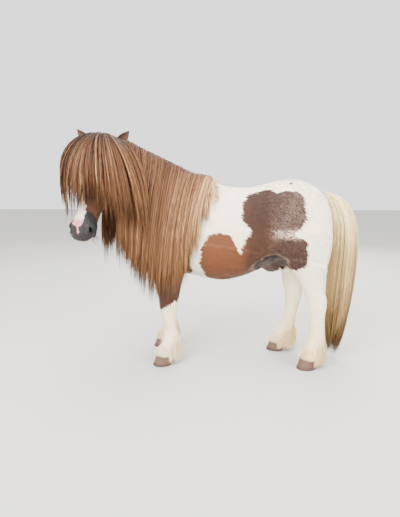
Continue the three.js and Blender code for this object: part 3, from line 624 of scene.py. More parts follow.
@dataclass
class Limb:
    """One leg: its sizes at each height, and where its middle line runs, as height, x and y."""

    name: str
    sizes: Rows
    path: Rows
    toe_out: float
    coronet_height: float = 0.041
    coronet_slope: float = 0.2
    coronet_reach: tuple[float, float, float] = (0.034, 0.030, 0.033)

    def toe(self, height: float = 0.0) -> Array:
        """The way that the front of the leg faces at a height."""
        angle = math.radians(self.toe_out) * float(ease(-height, -0.190, -0.060))
        return np.array((-math.cos(angle), -math.sin(angle), 0.0))

    def middle(self, height: float) -> Array:
        """The place on the leg's middle line at a height."""
        x, y = look_up(self.path, np.array([height]))[0]
        return np.array((x, y, height))

    def coronet(self) -> Section:
        """The ring at which the skin meets the hoof."""
        toe = self.toe()
        at = self.middle(self.path[-1][0])
        at[2] = self.coronet_height
        ahead, behind, half = self.coronet_reach
        return Section(at, np.cross(toe, UP), toe + UP * self.coronet_slope, half, ahead, behind)

    def add_to(self, mesh: BMesh) -> None:
        """Adds the leg, from inside the body down to the hoof."""
        sections = []
        for height, ahead, behind, half in finer(self.sizes, 3):
            toe = self.toe(height)
            side = np.cross(toe, UP)
            sections.append(Section(self.middle(height), side, toe, half, ahead, behind))
        loft(mesh, sections + [self.coronet()], 40)


def all_limbs() -> list[Limb]:
    """The four legs in the photo's stance."""
    return [
        Limb("front_left", FORE_SIZES, FRONT_LEFT_PATH, 34.0),
        Limb("front_right", FORE_SIZES, FRONT_RIGHT_PATH, -14.0),
        Limb("hind_left", HIND_SIZES, HIND_LEFT_PATH, 26.0),
        Limb("hind_right", HIND_SIZES, HIND_RIGHT_PATH, -8.0),
    ]


@dataclass
class Hoof:
    """One hoof: a flared, ringed wall on a flat sole."""

    limb: Limb
    sole: tuple[float, float, float] = (0.045, 0.034, 0.037)
    forward: float = 0.007
    rings: int = 13
    ridge: float = 0.0005
    inset: float = 0.0009

    def section(self, share: float, growth: float = 0.0) -> Section:
        """The wall's outline at a share of its height, from the sole to the coronet."""
        top = self.limb.coronet()
        toe = self.limb.toe()
        under = self.limb.middle(self.limb.path[-1][0]) * LEVEL
        sole = under + toe * self.forward
        spare = growth - self.inset + 0.0012 * (1.0 - share) ** 3
        ahead, behind, half = (
            low + (high - low) * share + spare
            for low, high in zip(self.sole, (top.rise, top.drop, top.half))
        )
        at = sole + (top.at - sole) * share
        up = toe + UP * self.limb.coronet_slope * share**2
        return Section(at, np.cross(toe, UP), up, half, ahead, behind)

    def build(self) -> Object:
        """The hoof as one closed piece, ready to dress."""
        mesh = bmesh.new()
        sections = []
        for k in range(self.rings):
            share = k / (self.rings - 1)
            growth = self.ridge * (1.0 if k % 2 else -1.0) * (0.0 < share < 1.0)
            sections.append(self.section(share, growth))
        loft(mesh, sections, 48)
        made = object_of("hoof_wall_" + self.limb.name, mesh)
        rim = bmesh.new()
        rim.from_mesh(made.data)
        low = [edge for edge in rim.edges if all(vert.co.z < 1e-5 for vert in edge.verts)]
        border = [edge for edge in low if any(len(face.verts) > 4 for face in edge.link_faces)]
        bmesh.ops.bevel(
            rim, geom=border, offset=0.0012, segments=2, profile=0.5, affect="EDGES", material=-1
        )
        rim.to_mesh(made.data)
        rim.free()
        made.data.shade_smooth()
        return made


@dataclass
class Eyeball:
    """One eye: a globe with a bulging cornea."""

    side: Side
    head: Head
    cornea: float = 0.0016
    fit: float = 0.0003

    def centre(self) -> Array:
        """The middle of the globe."""
        along, height, out = self.head.eye
        return self.head.on(along, height, -self.side.value * out)

    def build(self) -> Object:
        """The eyeball as one closed piece."""
        mesh = bmesh.new()
        centre = self.centre()
        nose, face, left = self.head.axes
        look = unit(left * -self.side.value + face * 0.12 + nose * 0.10)
        radius = self.head.eye_radius - self.fit
        bmesh.ops.create_uvsphere(mesh, u_segments=64, v_segments=40, radius=radius)
        quarter = Vector(look).to_track_quat("Z", "Y").to_matrix().to_4x4()
        bmesh.ops.transform(mesh, matrix=quarter, verts=mesh.verts)
        for vert in mesh.verts:
            way = np.array(vert.co) / radius
            bulge = self.cornea * float(ease(np.array(float(way @ look)), 0.74, 1.0))
            vert.co = Vector(centre + way * (radius + bulge))
        return object_of("eye_globe_" + self.side.name.lower(), mesh)


@dataclass
class Skin:
    """The one skin of the flesh: the trunk, neck, head, ears and legs fused and smoothed."""

    trunk: Trunk
    neck: Neck
    head: Head
    ears: list[Ear]
    limbs: list[Limb]
    body_face: float = 0.0066
    head_face: float = 0.0030
    coat_depth: float = 0.004
    face_depth: float = 0.0012
    sheath: Numbers = (0.158, -0.005, 0.426)
    sheath_radii: Numbers = (0.042, 0.034, 0.034)

    def build(self) -> Object:
        """The whole skin as one closed piece in the pony's own frame."""
        body = bmesh.new()
        for part in (self.trunk, self.neck, *self.limbs):
            part.add_to(body)
        lump(body, self.sheath, np.eye(3), self.sheath_radii)
        made = fused(object_of("skin", body), self.body_face)
        soften(made.data, 9)
        front = bmesh.new()
        for part in (self.head, *self.ears):
            part.add_to(front)
        head = fused(object_of("skull", front), self.head_face)
        soften(head.data, 5)
        self.head.sculpt(head.data)
        joined = made.modifiers.new("joined", "BOOLEAN")
        joined.operation = "UNION"
        joined.solver = "MANIFOLD"
        joined.object = head
        applied(made)
        bpy.data.objects.remove(head)
        self.blend_throat(made.data)
        self.tuck_flanks(made.data)
        self.sink(made.data)
        made.data.shade_smooth()
        self.tree = self.search_tree(made.data)
        self.data = made.data
        return made

    def blend_throat(self, data: Mesh) -> None:
        """Softens the fold where the jaw and the poll meet the neck."""
        places = self.head.seen(points_of(data))
        behind = (places[:, 0] > -0.06) & (places[:, 0] < 0.15) & (places[:, 1] < 0.03)
        ears = self.on_ears(points_of(data))
        cheek = (places[:, 0] > 0.07) & (places[:, 1] > -0.10)
        soften(data, 26, behind & ~ears & ~cheek)

    def tuck_flanks(self, data: Mesh) -> None:
        """Draws the skin in below the fold that runs from each stifle to the belly."""
        points = points_of(data)
        x, y, z = points.T
        fold = 0.512 - 0.75 * np.abs(x - 0.148)
        below = ease(fold - z, -0.004, 0.016) * (1.0 - ease(fold - z, 0.030, 0.085))
        above = hump(fold + 0.010 - z, 0.012)
        within = ease(x, 0.050, 0.085) * (1.0 - ease(x, 0.185, 0.220)) * ease(np.abs(y), 0.05, 0.09)
        inward = (0.014 * below - 0.003 * above) * within
        points[:, 1] -= np.sign(y) * inward
        move_points(data, points)
        soften(data, 2, within > 0.0)

    def sink(self, data: Mesh) -> None:
        """Draws the skin in by the depth of the coat over it."""
        points = points_of(data)
        places = self.head.seen(points)
        on_head = ease(places[:, 0], -0.02, 0.06) * (points[:, 0] < -0.42) * (points[:, 1] < -0.10)
        low = 1.0 - ease(points[:, 2], 0.05, 0.30)
        depth = self.coat_depth * (1.0 - 0.6 * low)
        depth = depth + (self.face_depth - depth) * on_head
        near_eye = self.head.near_eyes(places)
        depth = np.where(near_eye | (places[:, 0] > 0.27), 0.0, depth)
        move_points(data, points - facing_of(data) * depth[:, None])

    def on_ears(self, points: Array) -> Array:
        """Which places stand on an ear."""
        found = np.zeros(len(points), bool)
        for ear in self.ears:
            rise, _, _ = ear.directions()
            apart = points - ear.base()
            found |= (np.linalg.norm(apart, axis=1) < 0.11) & (apart @ rise > 0.010)
        return found

    def search_tree(self, data: Mesh) -> BVHTree:
        """A tree that finds the nearest place on the skin, apart from the ears."""
        mesh = bmesh.new()
        mesh.from_mesh(data)
        mesh.verts.ensure_lookup_table()
        ears = [mesh.verts[i] for i in np.flatnonzero(self.on_ears(points_of(data)))]
        bmesh.ops.delete(mesh, geom=ears, context="VERTS")
        tree = BVHTree.FromBMesh(mesh)
        mesh.free()
        return tree

    def hold_off(self, ways: Array, margins: Array, first: int = 1) -> Array:
        """Keeps hair on the outside of the skin.

        Args:
            ways: The points of each strand, from its root to its tip.
            margins: How far off the skin each strand stays.
            first: The first point of each strand that may move.

        Returns:
            The ways, with each point that was too low moved out along the skin's normal.
        """
        held = ways.copy()
        for i, (way, margin) in enumerate(zip(held, margins)):
            for k in range(first, way.shape[0]):
                near, normal, _, _ = self.tree.find_nearest(Vector(way[k]), 0.12)
                if near is None:
                    continue
                height = float((way[k] - np.array(near)) @ np.array(normal))
                if height < margin:
                    held[i, k] = way[k] + np.array(normal) * (margin - height)
        return held

    def scatter(self, count: int, seed: int, weigh: Weigh) -> tuple[Array, Array]:
        """Spreads roots over the skin.

        Args:
            count: How many roots.
            seed: The first number of their random order.
            weigh: How thickly they stand, from places and normals.

        Returns:
            The roots' places and the skin's normals there.
        """
        self.data.calc_loop_triangles()
        corners = np.empty(len(self.data.loop_triangles) * 3, np.int32)
        self.data.loop_triangles.foreach_get("vertices", corners)
        corners = corners.reshape(-1, 3)
        points = points_of(self.data)
        facing = facing_of(self.data)
        a, b, c = (points[corners[:, k]] for k in range(3))
        crossed = np.cross(b - a, c - a)
        share = np.linalg.norm(crossed, axis=1) / 2.0 * weigh((a + b + c) / 3.0, unit(crossed))
        random = np.random.default_rng(seed)
        ends = np.cumsum(share)
        picked = np.searchsorted(ends, random.random(count) * ends[-1])
        u, v = random.random(count), random.random(count)
        over = u + v > 1.0
        u[over], v[over] = 1.0 - u[over], 1.0 - v[over]
        mix = np.stack((1.0 - u - v, u, v), axis=1)[:, :, None]
        places = (points[corners[picked]] * mix).sum(axis=1)
        normals = unit((facing[corners[picked]] * mix).sum(axis=1))
        return places, normals


@dataclass
class Strands:
    """Many tapering strands of solid hair, as arrays with one row for each strand."""

    ways: Array
    outward: Array
    width: Array
    thick: Array
    spread: Array
    tone: Array
    place: Array | None = None
    as_skin: bool = False

    def rings(self) -> Array:
        """The three-sided cross-sections along each strand, all but the tip."""
        steps = self.ways.shape[1] - 1
        along = unit(np.gradient(self.ways, axis=1))
        outward = self.outward[:, None, :] if self.outward.ndim == 2 else self.outward
        across = unit(np.cross(along, outward))
        over = np.cross(across, along)
        share = np.linspace(0.0, 1.0, steps + 1)
        half = np.minimum(1.0, 0.45 + 2.2 * share) * (1.0 - 0.72 * share**2) / 2.0
        half = self.width[:, None] * half
        deep = self.thick[:, None] * (1.0 - 0.5 * share) / 2.0
        corners = [
            self.ways + across * half[..., None] - over * deep[..., None] / 2.0,
            self.ways + over * deep[..., None],
            self.ways - across * half[..., None] - over * deep[..., None] / 2.0,
        ]
        return np.stack(corners, axis=2)[:, :-1]

    def build(self, name: str) -> Object:
        """One joined mesh of all the strands, in the pony's own frame.

        Args:
            name: The new object's name.

        Returns:
            The object, with each vertex's tone and root, and each strand's patch of the root map.
        """
        rings = self.rings()
        count, steps = rings.shape[:2]
        size = steps * 3 + 1
        points = np.concatenate((rings.reshape(count, -1, 3), self.ways[:, -1:, :]), axis=1)
        edges = [(k * 3 + i, k * 3 + (i + 1) % 3) for k in range(steps) for i in range(3)]
        quads = [(a, a + 3, b + 3, b) for a, b in edges[:-3]]
        ends = [(a, size - 1, b) for a, b in edges[-3:]] + [(0, 1, 2)]
        pattern = np.concatenate((np.ravel(quads), np.ravel(ends)))
        loops = (pattern[None, :] + np.arange(count)[:, None] * size).reshape(-1)
        lengths = np.tile(np.array([4] * len(quads) + [3] * len(ends)), count)
        starts = np.concatenate(([0], np.cumsum(lengths)[:-1]))
        data = bpy.data.meshes.new(name)
        data.vertices.add(count * size)
        data.vertices.foreach_set("co", points.astype(np.float32).ravel())
        data.loops.add(len(loops))
        data.loops.foreach_set("vertex_index", loops.astype(np.int32))
        data.polygons.add(len(lengths))
        data.polygons.foreach_set("loop_start", starts.astype(np.int32))
        data.update(calc_edges=True)
        data.validate()
        data.shade_smooth()
        if self.as_skin:
            facing = np.repeat(self.outward, size, axis=0)
            data.normals_split_custom_set_from_vertices(facing)
        else:
            under = [k % 3 == 2 for k in range(len(quads))] + [False, False, True, True]
            flat = data.attributes.get("sharp_face")
            flat = flat or data.attributes.new("sharp_face", "BOOLEAN", "FACE")
            flat.data.foreach_set("value", np.tile(np.array(under), count))
        self.mark(data, steps, pattern)
        return linked(name, data)

    def mark(self, data: Mesh, steps: int, pattern: Array) -> None:
        """Writes the tones, the roots and the root map of a mesh of strands."""
        tone = np.concatenate((np.repeat(self.tone[:, :-1], 3, axis=1), self.tone[:, -1:]), axis=1)
        tones = data.attributes.new("tone", "FLOAT", "POINT").data
        tones.foreach_set("value", tone.astype(np.float32).ravel())
        place = self.ways[:, 0] if self.place is None else self.place
        root = np.repeat(place + np.array(MIDDLE), steps * 3 + 1, axis=0)
        roots = data.attributes.new("root", "FLOAT_VECTOR", "POINT").data
        roots.foreach_set("vector", root.astype(np.float32).ravel())
        along = np.append(np.repeat(np.arange(steps), 3) / steps, 1.0) - 0.5
        around = np.append(np.tile((-0.5, 0.0, 0.5), steps), 0.0)
        local = np.stack((around, along), axis=1)[pattern] * ROOT_PATCH
        base = ROOT_PATCH + np.clip(self.spread, 0.0, 1.0) * (1.0 - 2.0 * ROOT_PATCH)
        maps = (base[:, None, :] + local[None, :, :]).reshape(-1)
        layer = data.uv_layers.new(name=ROOT_MAP)
        layer.data.foreach_set("uv", maps.astype(np.float32))


def curve(shares: Array, *controls: Array) -> Array:
    """Points on many curves, at shares of each, from the four rows of points that steer them."""
    t = shares[..., None]
    a, b, c, d = (points[:, None] for points in controls)
    s = 1.0 - t
    return s**3 * a + 3.0 * s**2 * t * b + 3.0 * s * t**2 * c + t**3 * d


def eased_ways(ways: Array, rounds: int = 1) -> Array:
    """Strands with the kinks between their points softened, and their ends kept."""
    made = ways.copy()
    for _ in range(rounds):
        made[:, 1:-1] = made[:, 1:-1] * 0.5 + (made[:, :-2] + made[:, 2:]) * 0.25
    return made


@dataclass
class Mass:
    """One layer of long hair, and how its locks are drawn.

    `depths` runs from 0 on the outside of the hair to 1 next to the skin, and `drops` says how
    much lower or higher than the table the tips of a lock may hang.
    """

    locks: int
    strands: int
    steps: int
    width: float
    seed: int
    depths: tuple[float, float] = (0.0, 0.6)
    drops: tuple[float, float] = (-0.040, 0.030)
    spread: float = 0.60
    clump: float = 0.90
    stray: float = 0.003
    wave: float = 0.0025
    tone: float = 0.0
    streak: float = 0.22
    thick: float = 0.0014


@dataclass
class LongHair:
    """Hair in locks that start along a root line and draw together towards their tips."""

    skin: Skin
    mass: Mass
    cling: float = 0.006
    loft_off: float = 0.016
    bare_ear: float = 0.032
    ear_tip: float = 0.070

    def ways(self, key: Array, depth: Array, drop: Array, shares: Array) -> tuple[Array, Array]:
        """The ways of hair that starts at shares of the root line.

        Args:
            key: Where on the root line each strand starts, from 0 to 1.
            depth: 0 on the outside and 1 next to the skin.
            drop: How much lower each tip hangs.
            shares: Where along each way its points are.

        Returns:
            The points of each way, and the way out of the coat for each.
        """
        raise NotImplementedError

    def seats(self, key: Array, out: Array, random: np.random.Generator) -> Array:
        """Where strands leave the skin."""
        raise NotImplementedError

    def tones(self, key: Array, depth: Array, shares: Array) -> Array:
        """How pale the hair is along each strand, before its own lock's tone is added."""
        raise NotImplementedError

    def clear_ears(self, ways: Array) -> Array:
        """Lowers the hair that would stand in front of an ear."""
        cleared = ways.copy()
        head = self.skin.head
        for ear in self.skin.ears:
            rise = ear.directions()[0]
            apart = ways - (ear.base() + rise * self.bare_ear)
            off_tip = (apart - rise * self.ear_tip) @ head.aside
            near = hump(off_tip, 0.023) * ease(apart @ head.ahead, -0.045, -0.010)
            cleared[..., 2] -= 0.92 * near * np.maximum(apart[..., 2], 0.0)
        return cleared

    def strands(self) -> Strands:
        """All the strands of this layer."""
        mass = self.mass
        random = np.random.default_rng(mass.seed)
        lock_key = (np.arange(mass.locks) + random.random(mass.locks)) / mass.locks
        lock_depth = random.uniform(*mass.depths, mass.locks)
        lock_drop = random.uniform(*mass.drops, mass.locks)
        lock_tone = random.normal(0.0, 1.0, mass.locks)
        lock_phase = random.random(mass.locks) * TURN
        lock_lean = random.normal(0.0, 1.0, mass.locks)
        lock = np.arange(mass.locks * mass.strands) % mass.locks
        count = len(lock)
        spread = random.normal(0.0, 1.0, count)
        key = np.clip(lock_key[lock] + spread * mass.spread / mass.locks, 0.0, 1.0)
        depth = np.clip(lock_depth[lock] + random.normal(0.0, 0.10, count), 0.0, 1.0)
        ends = 1.0 - 0.20 * random.random(count) ** 2.0
        shares = np.linspace(0.0, 1.0, mass.steps + 1)[None, :] ** 1.3 * ends[:, None]
        own, out = self.ways(key, depth, lock_drop[lock], shares)
        led, _ = self.ways(lock_key[lock], lock_depth[lock], lock_drop[lock], shares)
        pull = (mass.clump * ease(shares, 0.15, 1.0))[..., None]
        ways = own + (led - own) * pull
        across = np.cross(UP, out)
        phase = lock_phase[lock][:, None] + random.normal(0.0, 0.7, count)[:, None]
        drift = random.normal(0.0, mass.stray, count)[:, None] * shares**2
        drift = drift + 0.006 * lock_lean[lock][:, None] * shares**1.5
        drift = drift + mass.wave * np.sin(phase + shares * 9.0) * shares**0.7
        ways = ways + across[:, None, :] * drift[..., None]
        seat = self.seats(key, out, random)[:, None, :]
        ways = seat + (ways - seat) * ease(shares, -0.02, 0.13)[..., None]
        ways[:, 0] = seat[:, 0]
        margins = self.cling + self.loft_off * (1.0 - depth)
        ways = self.clear_ears(ways)
        ways = eased_ways(self.skin.hold_off(ways, margins, 3), 1)
        tone = mass.tone + 0.04 * lock_tone[lock] + random.normal(0.0, 0.07, count)
        bright = np.clip(0.6 + random.normal(0.0, 0.5, mass.locks), 0.0, 1.4)[lock]
        # Strands at a lock's edges are a little darker: painted shade between the locks.
        tone = tone + mass.streak * bright * hump(spread, 0.40) - 0.06 * np.abs(spread)
        tones = tone[:, None] + self.tones(key, depth, shares)
        unwrap = np.stack((key, random.random(count)), axis=1)
        width = mass.width * (0.7 + 0.6 * random.random(count))
        return Strands(ways, unit(out + UP * 0.5), width, np.full(count, mass.thick), unwrap, tones)


@dataclass
class Forelock(LongHair):
    """The mop over the brow: bearing in degrees round the poll, reach of the tips, their height."""

    root: Numbers = (-0.500, -0.196, 0.966)
    layer: float = 0.040
    dip: float = 0.014
    fan: float = 0.50
    rows: Rows = (
        (-150.0, 0.110, 0.850), (-125.0, 0.135, 0.830), (-100.0, 0.160, 0.790),
        (-80.0, 0.184, 0.745), (-55.0, 0.193, 0.690), (-28.0, 0.181, 0.655),
        (-14.0, 0.172, 0.660), (-3.0, 0.166, 0.722), (5.0, 0.163, 0.715),
        (18.0, 0.160, 0.662), (42.0, 0.166, 0.628), (68.0, 0.178, 0.604),
        (92.0, 0.176, 0.590), (118.0, 0.140, 0.620), (150.0, 0.110, 0.700),
    )

    def bearing(self, key: Array) -> Array:
        """The bearing of hair at shares of the root line."""
        return self.rows[0][0] + (self.rows[-1][0] - self.rows[0][0]) * key

    def ways(self, key: Array, depth: Array, drop: Array, shares: Array) -> tuple[Array, Array]:
        """The ways of hair that fans out from the poll and falls over the face."""
        bearing = self.bearing(key)
        reach, height = look_up(self.rows, bearing).T
        ahead, aside = self.skin.head.ahead, self.skin.head.aside
        angle = np.radians(bearing)
        out = np.cos(angle)[:, None] * ahead + np.sin(angle)[:, None] * aside
        dip = np.zeros(len(bearing))
        for ear in self.skin.ears:
            rise = ear.base() + ear.directions()[0] * 0.05 - np.array(self.root)
            towards = math.degrees(math.atan2(rise @ aside, rise @ ahead))
            dip = dip + self.dip * hump(bearing - towards, 24.0)
        root = np.array(self.root) - UP * (self.layer * depth + dip)[:, None]
        start = angle * (1.0 - self.fan * (1.0 - ease(np.abs(bearing), 70.0, 120.0)))
        early = np.cos(start)[:, None] * ahead + np.sin(start)[:, None] * aside
        far = (reach - self.layer * depth)[:, None]
        low = root[:, 2] + (height - root[:, 2]) * 0.35
        inward = 0.97 - 0.13 * ease(np.abs(bearing + 70.0), 60.0, 10.0)[:, None]
        shoulder = (root + unit(early + out * 3.0) * far * 1.10) * LEVEL + UP * low[:, None]
        tip = (root + out * far * inward) * LEVEL + UP * (height - drop)[:, None]
        ways = curve(shares, root - early * 0.008, root + early * far * 0.72, shoulder, tip)
        return ways, out

    def seats(self, key: Array, out: Array, random: np.random.Generator) -> Array:
        """Places on the poll, between the ears."""
        middle = self.skin.head.on(0.010, 0.0, 0.0)
        return middle + out * (0.006 + 0.026 * random.random(len(key)))[:, None] - UP * 0.006

    def tones(self, key: Array, depth: Array, shares: Array) -> Array:
        """Brown at the poll and tan towards the tips, with painted shade on the mop's left and under
        the mop.
        """
        tone = 0.42 + 0.10 * ease(shares, 0.25, 0.9) - 0.41 * (1.0 - ease(shares, 0.08, 0.55))
        bearing = self.bearing(key)
        # Painted shade: the hair on the left of the mop, and the hair deep under it, is darkened.
        shaded_left = 0.25 * ease(-bearing, 20.0, 55.0) * (1.0 - ease(-bearing, 90.0, 125.0))
        return tone - (shaded_left + 0.22 * depth)[:, None]


@dataclass
class Mane(LongHair):
    """One side of the mane: its lift off the crest, and its tips as a share along it, x, y, z."""

    side: Side = Side.LEFT
    lift: tuple[float, float] = (0.052, 0.006)
    tips: Rows = ()
    reach: tuple[float, float] = (0.0, 1.0)
    layer: float = 0.050
    bump: float = 0.014
    crest: Rows = (
        (0.0, -0.466, -0.163, 0.908), (0.2, -0.395, -0.110, 0.893),
        (0.4, -0.315, -0.056, 0.864), (0.6, -0.235, -0.020, 0.832),
        (0.8, -0.165, -0.005, 0.800), (1.0, -0.104, 0.000, 0.776),
    )

    def share(self, key: Array) -> Array:
        """The share of the crest, from the poll to the withers, for shares of the root line."""
        return self.reach[0] + (self.reach[1] - self.reach[0]) * key

    def ways(self, key: Array, depth: Array, drop: Array, shares: Array) -> tuple[Array, Array]:
        """The ways of hair that leaves the crest and hangs down one side of the neck."""
        share = self.share(key)
        root = look_up(self.crest, share)
        front = look_up(self.crest, np.clip(share - 0.03, 0.0, 0.94))
        behind = look_up(self.crest, np.clip(share + 0.03, 0.06, 1.0))
        out = np.cross(UP, unit(front - behind)) * -self.side.value
        out[:, 2] = 0.0
        out = unit(out)
        tip = look_up(self.tips, share)
        tip[:, 2] -= drop
        rise = self.lift[0] + (self.lift[1] - self.lift[0]) * share
        rise = (rise + self.bump * hump(share - 0.10, 0.08)) * (1.0 - depth)
        low = root[:, 2] + (tip[:, 2] - root[:, 2]) * 0.42
        d = depth[:, None]
        start = root + UP * (rise - 0.006 * depth)[:, None] - out * 0.004
        shoulder = root + out * (0.078 - 0.030 * d) + UP * (0.026 - 0.040 * d)
        side = (tip - out * 0.020 * d) * LEVEL + UP * low[:, None]
        return curve(shares, start, shoulder, side, tip - out * self.layer * d), out

    def seats(self, key: Array, out: Array, random: np.random.Generator) -> Array:
        """Places in a band along the crest."""
        seat = look_up(self.crest, self.share(key))
        return seat + out * (0.022 * random.random(len(key)) - 0.008)[:, None] - UP * 0.006

    def tones(self, key: Array, depth: Array, shares: Array) -> Array:
        """Grey brown along the crest, golden below and cream over the withers, darker in the under
        layers as painted shade.
        """
        share = self.share(key)[:, None]
        tone = 0.40 + 0.17 * ease(shares, 0.15, 0.80) - 0.14 * (1.0 - ease(shares, 0.05, 0.35))
        pale = 0.34 * ease(share, 0.86, 0.98) * (1.0 - 0.5 * ease(shares, 0.3, 0.8))
        # The depth term is painted shade on the hair next to the skin.
        return tone + 0.12 * share + pale - 0.20 * depth[:, None]


@dataclass
class Tail:
    """The tail's hair round its dock: the outline as height, front x, back x and half width."""

    skin: Skin
    mass: Mass
    foot: float = 0.018
    dock: Rows = (
        (0.0, 0.378, 0.737, 0.018), (0.15, 0.396, 0.735, 0.021), (0.3, 0.418, 0.722, 0.020),
        (0.45, 0.436, 0.690, 0.017), (0.65, 0.446, 0.640, 0.015), (0.85, 0.448, 0.590, 0.012),
        (1.0, 0.446, 0.560, 0.006),
    )
    outline: Rows = (
        (0.742, 0.384, 0.410, 0.012), (0.734, 0.386, 0.434, 0.026),
        (0.724, 0.390, 0.454, 0.036), (0.700, 0.398, 0.478, 0.048),
        (0.662, 0.408, 0.499, 0.058), (0.611, 0.416, 0.516, 0.065),
        (0.534, 0.416, 0.524, 0.070), (0.448, 0.408, 0.524, 0.072),
        (0.359, 0.402, 0.523, 0.070), (0.292, 0.402, 0.515, 0.066),
        (0.230, 0.404, 0.506, 0.060), (0.155, 0.406, 0.494, 0.050),
        (0.085, 0.410, 0.482, 0.040), (0.032, 0.414, 0.468, 0.028),
        (0.012, 0.420, 0.460, 0.018),
    )

    def around(self, height: Array, turn: Array, reach: Array) -> Array:
        """Places in the tail at heights, turns round it and shares of its width."""
        front, back, half = np.moveaxis(look_up(self.outline, height), -1, 0)
        x = (front + back) / 2.0 + (back - front) / 2.0 * reach * np.cos(turn)
        y = half * reach * np.sin(turn)
        return np.stack((x, y, height), axis=-1)

    def strands(self) -> Strands:
        """All the strands of the tail."""
        mass = self.mass
        random = np.random.default_rng(mass.seed)
        lock_turn = random.random(mass.locks) * TURN
        lock_reach = 0.35 + 0.65 * random.random(mass.locks) ** 0.5
        lock_tip = self.foot + 0.24 * random.random(mass.locks) ** 2.2
        lock_tone = random.normal(0.0, 1.0, mass.locks)
        lock_phase = random.random(mass.locks) * TURN
        lock = np.arange(mass.locks * mass.strands) % mass.locks
        count = len(lock)
        spread = random.normal(0.0, 1.0, count)
        turn = lock_turn[lock] + spread * 0.13
        reach = np.clip(lock_reach[lock] + random.normal(0.0, 0.07, count), 0.15, 1.0)
        start = random.random(count) ** 1.3 * (1.0 - 0.55 * reach)
        row = look_up(self.dock, start)
        dock_x, dock_z, dock_half = row.T
        root = np.stack((dock_x, dock_half * np.sin(turn) * 0.7, dock_z), axis=1)
        tip = lock_tip[lock] + 0.08 * random.random(count) ** 2.0
        shares = np.linspace(0.0, 1.0, mass.steps + 1)[None, :] ** 1.5
        top = np.minimum(dock_z + 0.012 * np.cos(turn) * reach, 0.736)
        height = top[:, None] + (tip - top)[:, None] * shares
        fall = top[:, None] - height
        grown = ease(fall, -0.02, 0.13)
        pull = mass.clump * ease(shares, 0.30, 1.0)
        turns = turn[:, None] + (lock_turn[lock] - turn)[:, None] * pull
        reaches = reach[:, None] + (lock_reach[lock] - reach)[:, None] * pull
        ways = self.around(height, turns, reaches * (0.86 + 0.14 * grown))
        follow = look_up(self.dock, np.clip(start[:, None] + fall * 4.0, 0.0, 1.0))
        blend = 1.0 - ease(fall, 0.0, 0.10)
        centre_x = look_up(self.outline, height)[..., 0:2].mean(axis=-1)
        ways[..., 0] += (follow[..., 0] - centre_x) * blend * 0.20
        phase = lock_phase[lock][:, None] + random.normal(0.0, 0.6, count)[:, None]
        drift = random.normal(0.0, mass.stray, count)[:, None] * shares**2
        drift = drift + mass.wave * np.sin(phase + shares * 12.0) * shares
        out = np.stack((np.cos(turn), np.sin(turn), np.zeros(count)), axis=1)
        across = np.cross(UP, out)
        ways = ways + across[:, None, :] * drift[..., None]
        ways[:, 0] = root
        ways = eased_ways(ways, 2)
        ways = self.skin.hold_off(ways, np.full(count, 0.004), 1)
        ways[..., 2] = np.maximum(ways[..., 2], 0.008)
        bright = np.clip(0.6 + random.normal(0.0, 0.5, mass.locks), 0.0, 1.4)[lock]
        # Painted light and shade: locks at the front of the tail are paler where the hindquarters shade
        # them, and strands deep inside the tail (small reach) are darker.
        tone = 0.575 + 0.07 * ease(-np.cos(turn), -0.3, 0.8) + 0.04 * lock_tone[lock]
        tone = tone + random.normal(0.0, 0.05, count)
        tone = tone + 0.09 * bright * hump(spread, 0.4) + 0.18 * (reach - 0.8)
        tones = tone[:, None] + 0.28 * ease(height, 0.42, 0.70) - 0.22 * ease(-height, -0.42, -0.08)
        unwrap = np.stack((turn / TURN % 1.0, random.random(count)), axis=1)
        width = mass.width * (0.7 + 0.6 * random.random(count))
        return Strands(ways, unit(out + UP * 0.5), width, np.full(count, mass.thick), unwrap, tones)


